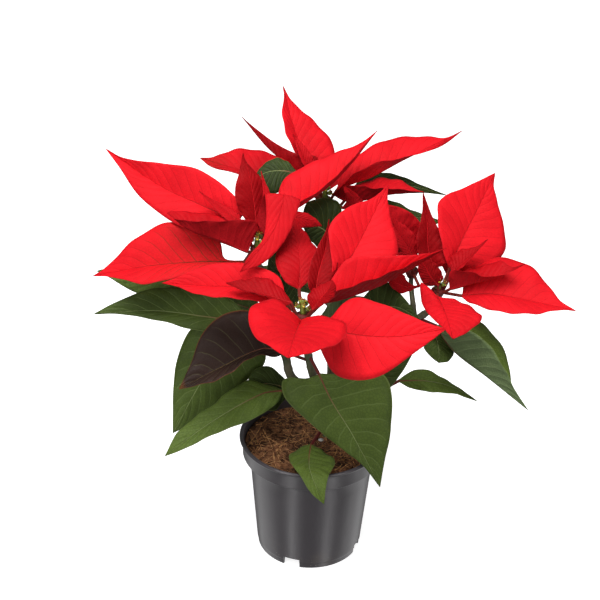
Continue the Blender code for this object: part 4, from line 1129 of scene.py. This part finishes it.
# %% The leaves among the heads
LEAVES |= {
    "leaf_inner_dark": leaf(
        "front", 0.70, (290, 312, 10), [(284, 292, 17), (280, 272, 21)], (276, 245, 24),
        [(276, 302, 17), (269, 284, 21), (268, 260, 23)],
        [(298, 300, 4), (296, 280, 12), (289, 260, 18)]),
    "leaf_inner_pale": leaf(
        "front", 0.56, (324, 331, -19), [(333, 320, -20), (348, 307, -25)], (366, 297, -30),
        [(331, 336, -18), (348, 326, -24), (362, 308, -29)],
        [(321, 316, -14), (333, 302, -19), (350, 296, -27)]),
    "leaf_inner_right": leaf(
        "right", 0.56, (372, 322, 12), [(384, 308, 4), (400, 308, -4)], (420, 320, -12),
        [(362, 300, 6), (386, 282, 0), (406, 300, -6)],
        [(376, 334, 10), (394, 332, 2), (410, 326, -8)]),
    "leaf_back_right": leaf(
        "back", 0.62, (360, 218, 46), [(382, 216, 48), (412, 217, 50)], (441, 221, 50),
        [(372, 203, 53), (390, 200, 54), (412, 210, 53)],
        [(372, 232, 40), (394, 238, 40), (420, 234, 44)]),
    "leaf_back_left": leaf(
        "back", 0.74, (297, 174, 17), [(284, 171, 17), (268, 172, 17)], (253, 180, 16),
        [(286, 181, 15), (277, 193, 13), (264, 191, 14)],
        [(288, 162, 20), (276, 158, 20), (262, 166, 19)]),
    "leaf_back_brown": leaf(
        "back", 0.90, (356, 186, 56), [(384, 183, 62), (414, 187, 66)], (446, 195, 70),
        [(366, 174, 60), (394, 174, 66), (424, 186, 69)],
        [(368, 193, 58), (396, 194, 60), (424, 193, 66)]),
    "leaf_back_veined": leaf(
        "back", 0.72, (336, 244, 27), [(325, 231, 22), (314, 225, 18)], (301, 223, 13),
        [(328, 248, 22), (319, 248, 19), (309, 238, 14)],
        [(343, 222, 27), (336, 200, 26), (308, 202, 20)]),
}
print("leaves so far", len(LEAVES))

# %% The hidden leaves and every leaf's brightness
PLAIN_TINT_AND_SHADE = 0.3
LEAVES |= {
    "leaf_rear_left": hidden_leaf("left", 0.60, 235, 6, 110, 46, 0.30),
    "leaf_rear_low": hidden_leaf("back", 0.24, 190, 4, 120, 52, 0.34),
    "leaf_rear_middle": hidden_leaf("back", 0.50, 215, 8, 112, 48, 0.28),
    "leaf_rear_upper": hidden_leaf("back", 0.68, 160, 10, 104, 46, 0.26),
    "leaf_rear_right": hidden_leaf("right", 0.40, 150, 4, 116, 50, 0.32),
    "leaf_rear_outer": hidden_leaf("back", 0.80, 127, 0, 74, 36, 0.26),
}
# A leaf's tint sets how bright it is: partly its own tone, partly painted light and shade. Past 1, no darker
# patches are left in them.
LEAF_TINTS_AND_SHADE = {"leaf_left_top": 0.9, "leaf_left_upper": 0.3, "leaf_left_hanging": 0.5, "leaf_left_low": 0.8,
         "leaf_left_small": 0.15, "leaf_front_large": 0.5, "leaf_over_rim": 0.95, "leaf_right_low": 0.25,
         "leaf_right_narrow": 1.25, "leaf_right_folded": 1.3, "leaf_right_small": 0.4, "leaf_inner_dark": 0.0,
         "leaf_inner_pale": 0.95, "leaf_inner_right": 0.2, "leaf_back_veined": 0.15, "leaf_back_left": 0.0,
         "leaf_back_brown": 0.05}
for name, made in LEAVES.items():
    made["tint_and_painted_shade"] = LEAF_TINTS_AND_SHADE.get(name, PLAIN_TINT_AND_SHADE)
# The folded leaf's underside is painted light.
LEAVES["leaf_right_folded"]["underside_painted_shade"] = 0.8
LEAVES["leaf_left_purple"]["stain"] = (0.93, 1.0)
print("leaves", len(LEAVES))

# %% Grow the leaves
for name, made in LEAVES.items():
    purple = name == "leaf_left_purple"
    bm = open_bmesh()
    grow_blade(bm, made, LEAF_PAIRS)
    pair = purple_pair if purple else leaf_pair
    add_piece(name + "_grown", bm, pair, name)

# %% [markdown]
# ## The flower knots
#
# What look like petals are the bracts. The true flowers are the small green cups in the middle: each is a
# goblet with a toothed red rim, a few stamens and one yellow honey gland at its side. A goblet is round, so
# its wall is a spun outline. Teeth and stamens are tiny, so simple cones and low spheres are enough for
# them. Their finishes share one node group, a soft speckle that mixes two colours and gives a matching
# bump.

# %% Flower cup finishes
speckle_group, asked, given = new_group("speckle", {"Scale": 400.0}, ["Share", "Height"])
drift = cloud(speckle_group, asked["Scale"])
plug(speckle_group, given["Share"], soft_step(speckle_group, drift, 0.35, 0.65))
plug(speckle_group, given["Height"], drift)


def speckled_finish(name, low, high, scale, roughness, depth, coat=0.0):
    """A finish that drifts between two colours, with a matching bump."""
    finish, tree, shader = new_finish(name)
    speckle = use_group(tree, speckle_group, Scale=scale)
    plug(tree, shader.inputs["Base Color"], mix_colours(tree, speckle["Share"], low, high))
    shader.inputs["Roughness"].default_value = roughness
    shader.inputs["Coat Weight"].default_value = coat
    relief(tree, shader, speckle["Height"], depth, 0.6)
    return finish


cup_finishes = [
    speckled_finish("cup_skin", (0.10, 0.17, 0.02, 1), (0.34, 0.44, 0.06, 1), 320, 0.45, 0.2),
    speckled_finish("cup_gland", (0.70, 0.50, 0.02, 1), (0.80, 0.66, 0.08, 1), 500, 0.25, 0.1, 0.5),
    speckled_finish("cup_red", (0.28, 0.01, 0.01, 1), (0.60, 0.03, 0.02, 1), 500, 0.5, 0.1)]
print("cup finishes", [finish.name for finish in cup_finishes])

# %% Build one flower cup
CUP = [(0, 0), (0.8, 0.05), (1.45, 0.6), (1.9, 1.6), (1.95, 2.7), (1.6, 3.6), (1.25, 4.1), (1.0, 4.0),
       (0.9, 3.3), (0, 3.0)]
TOOTH_COUNT = 5
STAMEN_COUNT = 3


def build_cup(bm, place):
    """One flower cup: the goblet, its rim teeth, the stamens and a gland."""
    turned(bm, CUP, 14, place)
    extras = []
    for k in range(TOOTH_COUNT):
        lean = Matrix.Rotation(k * math.tau / TOOTH_COUNT, 4, "Z") @ Matrix.Translation((1.0, 0, 4.3))
        made = bmesh.ops.create_cone(bm, cap_ends=True, segments=6, radius1=0.5, radius2=0.08, depth=1.0,
                                     matrix=place @ lean @ Matrix.Rotation(-0.5, 4, "Y"))
        extras.append((made["verts"], 2))
    for k in range(STAMEN_COUNT):
        lean = Matrix.Rotation(0.6 + k * math.tau / STAMEN_COUNT, 4, "Z") @ Matrix.Rotation(0.22, 4, "Y")
        stem = Matrix.Translation((0, 0, 4.1))
        made = bmesh.ops.create_cone(bm, cap_ends=True, segments=6, radius1=0.14, radius2=0.1, depth=2.4,
                                     matrix=place @ lean @ stem)
        extras.append((made["verts"], 2))
        made = bmesh.ops.create_icosphere(bm, subdivisions=1, radius=0.34,
                                          matrix=place @ lean @ Matrix.Translation((0, 0, 5.4)))
        extras.append((made["verts"], 1))
    lip = Matrix.Translation((1.85, 0, 2.9)) @ Matrix.Diagonal((0.7, 1.0, 0.7, 1))
    made = bmesh.ops.create_uvsphere(bm, u_segments=10, v_segments=7, radius=0.95, matrix=place @ lip)
    extras.append((made["verts"], 1))
    for verts, look in extras:
        for face in faces_of(verts):
            face.material_index = look
            face.smooth = True


print("a cup is", max(height for radius, height in CUP), "mm tall without its teeth")

# %% Build the flower knots
CUP_COUNT = 6
CUP_TURN = math.radians(137.5)
CUP_STEP_OUT = 1.5
CUP_STEP_DOWN = 0.9
CUP_LEAN = 0.16
KNOT_STALK = 7.5
HUB_GAP = 0.3
KNOT_FOOT = [(0, -1), (2.6, -1), (2.3, 2), (1.9, 5), (1.6, KNOT_STALK), (0, KNOT_STALK + 0.5)]

for head, centre in HEADS.items():
    bm = bmesh.new()
    foot = Matrix.Translation(centre + UP * HUB_GAP)
    turned(bm, KNOT_FOOT, 16, foot)
    for k in range(CUP_COUNT):
        out = CUP_STEP_OUT * math.sqrt(k)
        place = foot @ Matrix.Rotation(k * CUP_TURN, 4, "Z")
        place = place @ Matrix.Translation((out, 0, KNOT_STALK - CUP_STEP_DOWN * k))
        build_cup(bm, place @ Matrix.Rotation(CUP_LEAN * out, 4, "Y"))
    add_piece(f"cyathia_{head}_grown", bm, cup_finishes, "cyathia_" + head)

# %% [markdown]
# ## The stem
#
# The stem is green-brown, half woody, with fine lengthwise lines, and rings where old leaves fell off. A
# curve with a round bevel follows the limbs and tapers point by point, so swellings at the rings cost
# nothing. The curve is then made a mesh.

# %% The bark
bark, tree, shader = new_finish("stem_bark")
grain = cloud(tree, 1.0, 4.0, (900, 900, 90))
patches = cloud(tree, 70.0, 3.0)
mottle = soft_step(tree, patches, 0.35, 0.65)
skin = mix_colours(tree, mottle, (0.075, 0.095, 0.035, 1), (0.17, 0.15, 0.085, 1))
skin = mix_colours(tree, soft_step(tree, grain, 0.55, 0.8, 0, 0.5), skin, (0.28, 0.24, 0.15, 1))
pores = add_node(tree, "TexVoronoi", {"Vector": object_place(tree), "Scale": 330.0}).outputs["Distance"]
skin = mix_colours(tree, soft_step(tree, pores, 0.06, 0.16, 0.8, 0), skin, (0.34, 0.27, 0.16, 1))
plug(tree, shader.inputs["Base Color"], skin)
plug(tree, shader.inputs["Roughness"], sum_up(tree, "MULTIPLY_ADD", patches, 0.2, 0.48))
relief(tree, shader, sum_up(tree, "ADD", grain, soft_step(tree, pores, 0.05, 0.18, 0.8, 0)), 0.25)
print("bark finish with", len(tree.nodes), "nodes")

# %% The stem
SCAR_SPACING = 13.0
SCAR_WIDTH = 1.3
SCAR_SWELL = 0.14
POINT_SPACING = 1.6


def finished_mesh(working):
    """The mesh that an object's curve or modifiers make. The object itself is removed."""
    bpy.context.view_layer.update()
    graph = bpy.context.evaluated_depsgraph_get()
    mesh = bpy.data.meshes.new_from_object(working.evaluated_get(graph))
    bpy.data.objects.remove(working)
    return mesh


curve = bpy.data.curves.new("limbs", "CURVE")
curve.dimensions = "3D"
curve.bevel_depth = 1.0
curve.bevel_resolution = 5
curve.use_fill_caps = True
for points, start_radius, end_radius in LIMBS.values():
    length = sum((b - a).length for a, b in zip(points, points[1:]))
    steps = round(length / POINT_SPACING)
    line = curve.splines.new("POLY")
    line.points.add(steps)
    line.use_smooth = True
    for k, point in enumerate(run(points, [k / steps for k in range(steps + 1)])):
        reach = k / steps * length
        from_scar = (reach + SCAR_SPACING / 2) % SCAR_SPACING - SCAR_SPACING / 2
        swell = 1 + SCAR_SWELL * math.exp(-(from_scar / SCAR_WIDTH) ** 2) + 0.04 * noise.noise(point / 6)
        line.points[k].co = (*point, 1)
        line.points[k].radius = (start_radius + (end_radius - start_radius) * k / steps) * swell
stem_mesh = finished_mesh(in_scene("limbs", curve))
stem_mesh.shade_smooth()
add_piece("stem_grown", stem_mesh, [bark], "stem")

# %% [markdown]
# ## Peat and fibre
#
# Potting soil is dark peat, crumbly, with coconut fibres through it. Bump alone looks painted on from a low
# angle, so the surface is spun fine and really pushed up and down by noise. Crumbs and fibres are then laid
# on it as small bodies of their own.

# %% The soil bed
POT_HEIGHT = 106.0
LIP_RADIUS = 60.0
BAND_RADIUS = 57.0
BAND_HEIGHT = 17.5
NECK_RADIUS = 50.9
FOOT_RADIUS = 42.8
POT_WALL = 1.5
FLOOR_RISE = 5.0
SOIL_TOP = 99.5
FIT_GAP = 0.3


def body_radius(height):
    """The pot's outer radius below the rim band."""
    return FOOT_RADIUS + (NECK_RADIUS - FOOT_RADIUS) * height / (POT_HEIGHT - BAND_HEIGHT)


def soil_height(across, back):
    """The soil surface: slow swells that follow the pot round, then three sizes of crumb on top."""
    radius, turn = math.hypot(across, back), math.atan2(back, across)
    bumps = math.sin(3 * turn + radius / 9) + 0.7 * math.sin(5 * turn - radius / 6 + 1)
    smooth = SOIL_TOP - 0.0006 * radius**2 + 0.7 * bumps * min(radius / 20, 1)
    here = Vector((across, back, 0))
    coarse, small = noise.noise(here / 5), noise.noise(here / 2.1 + UP * 9)
    return smooth + 1.3 * coarse + 0.7 * small + 0.3 * noise.noise(here / 0.9)


print("the soil is", round(soil_height(0, 0), 1), "mm high in the middle")

# %% The peat
peat, tree, shader = new_finish("peat_bed")
lumps, dust = cloud(tree, 260.0, 6.0), cloud(tree, 900.0, 4.0)
damp = cloud(tree, 48.0, 2.0)
earth = mix_colours(tree, soft_step(tree, lumps, 0.3, 0.7), (0.05, 0.022, 0.012, 1), (0.42, 0.19, 0.09, 1))
earth = mix_colours(tree, soft_step(tree, damp, 0.48, 0.66, 0, 0.75), earth, (0.040, 0.019, 0.012, 1))
earth = mix_colours(tree, soft_step(tree, dust, 0.55, 0.75, 0, 0.6), earth, (0.50, 0.27, 0.14, 1))
plug(tree, shader.inputs["Base Color"], earth)
plug(tree, shader.inputs["Roughness"], sum_up(tree, "MULTIPLY_ADD", dust, 0.1, 0.86))
relief(tree, shader, sum_up(tree, "ADD", lumps, sum_up(tree, "MULTIPLY", dust, 0.5)), 1.6)
shader.inputs["Specular IOR Level"].default_value = 0.2
grit = speckled_finish("perlite", (0.62, 0.62, 0.58, 1), (0.85, 0.85, 0.82, 1), 900, 0.8, 0.4)
print("peat finish with", len(tree.nodes), "nodes")

# %% The soil's body
RING_STEP = 1.1
neck = POT_HEIGHT - BAND_HEIGHT
wall = POT_WALL + FIT_GAP
rim = BAND_RADIUS - wall
bed_floor = FLOOR_RISE + POT_WALL + FIT_GAP
rings = [(radius * RING_STEP, SOIL_TOP) for radius in range(round(rim / RING_STEP))]
outline = rings + [(rim, SOIL_TOP - 1.5), (rim, neck + 3.3), (NECK_RADIUS - wall, neck - 0.2),
                   (body_radius(bed_floor) - wall, bed_floor), (0, bed_floor)]
bed = bmesh.new()
turned(bed, outline, 180)
for vert in bed.verts:
    if vert.co.z > SOIL_TOP - 1 and math.hypot(vert.co.x, vert.co.y) < rim - 0.2:
        vert.co.z = soil_height(vert.co.x, vert.co.y)
print("soil bed with", len(bed.verts), "points")

# %% Crumbs and the pale grain
CRUMB_COUNT = 260


def on_soil(across, down):
    """The place on the soil that is seen at a picture position."""
    sight = sight_line(across, down)
    return EYE + sight * ((SOIL_TOP - EYE.z) / sight.z)


for _ in range(CRUMB_COUNT):
    turn, out = chance.uniform(0, math.tau), (rim - 2) * math.sqrt(chance.random())
    here = Vector((out * math.cos(turn), out * math.sin(turn), 0))
    size = chance.uniform(0.5, 1.7)
    here.z = soil_height(here.x, here.y) + size * 0.2
    sides = chance.uniform(0.7, 1.3), chance.uniform(0.7, 1.3), chance.uniform(0.5, 0.9), 1
    spun = Matrix.Rotation(chance.uniform(0, math.tau), 4, (chance.random(), chance.random(), 1))
    place = Matrix.Translation(here) @ spun @ Matrix.Diagonal(sides)
    bmesh.ops.create_icosphere(bed, subdivisions=1, radius=size, matrix=place)

grain_place = Matrix.Translation(on_soil(321, 440)) @ Matrix.Diagonal((1.2, 0.8, 0.7, 1))
grain = bmesh.ops.create_icosphere(bed, subdivisions=2, radius=2.0, matrix=grain_place)
for face in faces_of(grain["verts"]):
    face.material_index = 1
print("soil with", CRUMB_COUNT, "crumbs and one pale grain")

# %% [markdown]
# ## Coconut fibres
#
# The fibres are hair-thin, 6 to 26 mm long, and each has its own lazy bend. They are curves with a tiny
# bevel. Most are scattered, and a few lie where they catch the eye. They join the soil's mesh, since they
# are part of it.

# %% Lay the fibres
fibre = speckled_finish("coir", (0.38, 0.16, 0.06, 1), (0.85, 0.45, 0.18, 1), 400, 0.7, 0.1)
threads = bpy.data.curves.new("threads", "CURVE")
threads.dimensions = "3D"
threads.bevel_depth = 1.0
threads.bevel_resolution = 1
FIBRE_POINTS = 9
FIBRE_COUNT = 330
SEEN_THICKNESS = 0.5
# The fibres that catch the eye: where each starts and ends in the picture, and its bend in mm.
SEEN_FIBRES = [((249, 428), (262, 449), -1.0), ((263, 430), (274, 456), -1.5), ((274, 456), (279, 470), 1.0),
               ((333, 459), (337, 449), 0.3), ((334, 471), (344, 463), 0.5), ((256, 424), (268, 417), 1.5),
               ((262, 436), (281, 447), -2.0), ((338, 470), (352, 460), 1.0), ((250, 442), (262, 421), 2.0)]


def lay_fibre(start, end, thick, bend):
    """A thin fibre over the soil between two places, bent sideways and sunk into the crumbs in places."""
    line = threads.splines.new("POLY")
    line.points.add(FIBRE_POINTS - 1)
    line.use_smooth = True
    sideward = (end - start).cross(UP).normalized()
    for k in range(FIBRE_POINTS):
        u = k / (FIBRE_POINTS - 1)
        point = start.lerp(end, u) + sideward * bend * math.sin(math.pi * u)
        if point.xy.length > rim - 1:
            point.xy = point.xy.normalized() * (rim - 1)
        point.z = soil_height(point.x, point.y) + thick + 0.9 * noise.noise(point / 4 + UP * k / 5)
        line.points[k].co = (*point, 1)
        line.points[k].radius = thick * (1.1 - 0.6 * u)


for start, end, bend in SEEN_FIBRES:
    lay_fibre(on_soil(*start), on_soil(*end), SEEN_THICKNESS, bend)
for _ in range(FIBRE_COUNT):
    turn, out = chance.uniform(0, math.tau), (rim - 3) * math.sqrt(chance.random())
    start = Vector((out * math.cos(turn), out * math.sin(turn), SOIL_TOP))
    heading, length = chance.uniform(0, math.tau), chance.uniform(6, 26)
    end = start + Vector((math.cos(heading), math.sin(heading), 0)) * length
    lay_fibre(start, end, chance.uniform(0.13, 0.34), chance.uniform(-4, 4))
thread_mesh = finished_mesh(in_scene("threads", threads))
thread_mesh.polygons.foreach_set("material_index", [2] * len(thread_mesh.polygons))
bed.from_mesh(thread_mesh)
add_piece("soil_laid", bed, [peat, grit, fibre], "soil")

# %% [markdown]
# ## The pot
#
# A nursery pot is moulded from thin grey plastic: a tapered body, a deep band under a rolled lip, a low
# ledge near the foot, and four drain notches. The outline is drawn once and its corners are rounded with a
# vertex bevel before the spin, because rounding them afterwards would mean picking edge loops. The notches
# are cut with a Boolean modifier that is baked into the mesh. Its plastic has a faint haze, upright flow
# lines from the mould, and dried soil near the foot.

# %% The pot's finish
plastic, tree, shader = new_finish("pot_grey")
flow = cloud(tree, 1.0, 4.0, (120, 120, 12))
haze = cloud(tree, 26.0, 4.0)
grey = mix_colours(tree, haze, (0.064, 0.057, 0.064, 1), (0.088, 0.078, 0.087, 1))
height_here = add_node(tree, "SeparateXYZ", {"Vector": object_place(tree)}).outputs["Z"]
low_down = soft_step(tree, height_here, 0.004, 0.026, 1, 0)
grains = add_node(tree, "TexVoronoi", {"Vector": object_place(tree), "Scale": 420.0}).outputs["Distance"]
specks = sum_up(tree, "MULTIPLY", soft_step(tree, grains, 0.08, 0.17, 1, 0),
                soft_step(tree, cloud(tree, 90.0), 0.52, 0.62))
specks = sum_up(tree, "MULTIPLY", specks, low_down)
film = sum_up(tree, "MULTIPLY", low_down, soft_step(tree, cloud(tree, 60.0), 0.45, 0.8, 0, 0.35))
grey = mix_colours(tree, film, grey, (0.20, 0.16, 0.13, 1))
grey = mix_colours(tree, specks, grey, (0.42, 0.34, 0.27, 1))
plug(tree, shader.inputs["Base Color"], grey)
plug(tree, shader.inputs["Roughness"], sum_up(tree, "MULTIPLY_ADD", flow, 0.14, 0.27))
relief(tree, shader, sum_up(tree, "ADD", sum_up(tree, "MULTIPLY", flow, 0.6), cloud(tree, 900.0)), 0.06)
print("pot finish with", len(tree.nodes), "nodes")

# %% The pot's body
PAD_RADIUS = 13.0
POT_SIDES = 160
CORNER_RADIUS = 0.45
BODY_RINGS = (9.5, 14, 24, 40, 56, 72)
floor_top = FLOOR_RISE + POT_WALL
outline = [
    (0, 0), (PAD_RADIUS, 0), (PAD_RADIUS + 1, FLOOR_RISE), (FOOT_RADIUS - 3.5, FLOOR_RISE),
    (FOOT_RADIUS - 2.5, 0), (FOOT_RADIUS - 0.5, 0), (FOOT_RADIUS, 0.5),
    (body_radius(5), 5), (body_radius(5) + 0.5, 5.6),
    *[(body_radius(ring) + 0.4, ring) for ring in BODY_RINGS], (NECK_RADIUS, neck),
    (BAND_RADIUS - 0.6, neck + 0.3), (BAND_RADIUS, neck + 1), (BAND_RADIUS + 0.6, POT_HEIGHT - 3.4),
    (LIP_RADIUS - 0.7, POT_HEIGHT - 3), (LIP_RADIUS, POT_HEIGHT - 1.6), (LIP_RADIUS - 0.8, POT_HEIGHT - 0.3),
    (LIP_RADIUS - 2, POT_HEIGHT), (BAND_RADIUS - 0.9, POT_HEIGHT - 1.5), (BAND_RADIUS - POT_WALL, neck + 3),
    (NECK_RADIUS - POT_WALL, neck - 0.5), (body_radius(floor_top) - POT_WALL, floor_top), (0, floor_top)]
bm = bmesh.new()
line = [bm.verts.new((radius, 0, height)) for radius, height in outline]
for pair in zip(line, line[1:]):
    bm.edges.new(pair)
bmesh.ops.bevel(bm, geom=line[1:-1], offset=CORNER_RADIUS, offset_type="OFFSET", segments=3, profile=0.5,
                affect="VERTICES", clamp_overlap=True, material=-1)
bmesh.ops.spin(bm, geom=bm.verts[:] + bm.edges[:], cent=(0, 0, 0), axis=(0, 0, 1), angle=math.tau,
               steps=POT_SIDES, use_merge=True)
bmesh.ops.remove_doubles(bm, verts=bm.verts, dist=0.005)
bmesh.ops.recalc_face_normals(bm, faces=bm.faces)
for face in bm.faces:
    face.smooth = True
print("pot body with", len(bm.faces), "faces before the notches")

# %% Cut the drain notches
NOTCH_COUNT = 4
NOTCH_WIDTH = 14.0
NOTCH_HEIGHT = 8.5
NOTCH_DEPTH = 9.0
BELOW_FOOT = 2.0
FIRST_NOTCH = math.radians(-18.5)
SHARP_ANGLE = math.radians(50)
cutter = bmesh.new()
for k in range(NOTCH_COUNT):
    turn = FIRST_NOTCH + k * math.tau / NOTCH_COUNT
    cube = bmesh.ops.create_cube(cutter, size=1)["verts"]
    middle = (NOTCH_HEIGHT - BELOW_FOOT) / 2
    place = (Matrix.Rotation(turn, 4, "Z") @ Matrix.Translation((0, -FOOT_RADIUS, middle))
             @ Matrix.Diagonal((NOTCH_WIDTH, NOTCH_DEPTH, NOTCH_HEIGHT + BELOW_FOOT, 1)))
    bmesh.ops.transform(cutter, matrix=place, verts=cube)

body = in_scene("pot_body", mesh_from("pot_body", bm))
notches = in_scene("notches", mesh_from("notches", cutter))
bite = body.modifiers.new("notches", "BOOLEAN")
bite.operation = "DIFFERENCE"
bite.object = notches
bite.solver = "EXACT"
pot_mesh = finished_mesh(body)
pot_mesh.set_sharp_from_angle(angle=SHARP_ANGLE)
bpy.data.objects.remove(notches)
add_piece("pot_moulded", pot_mesh, [plastic], "pot")
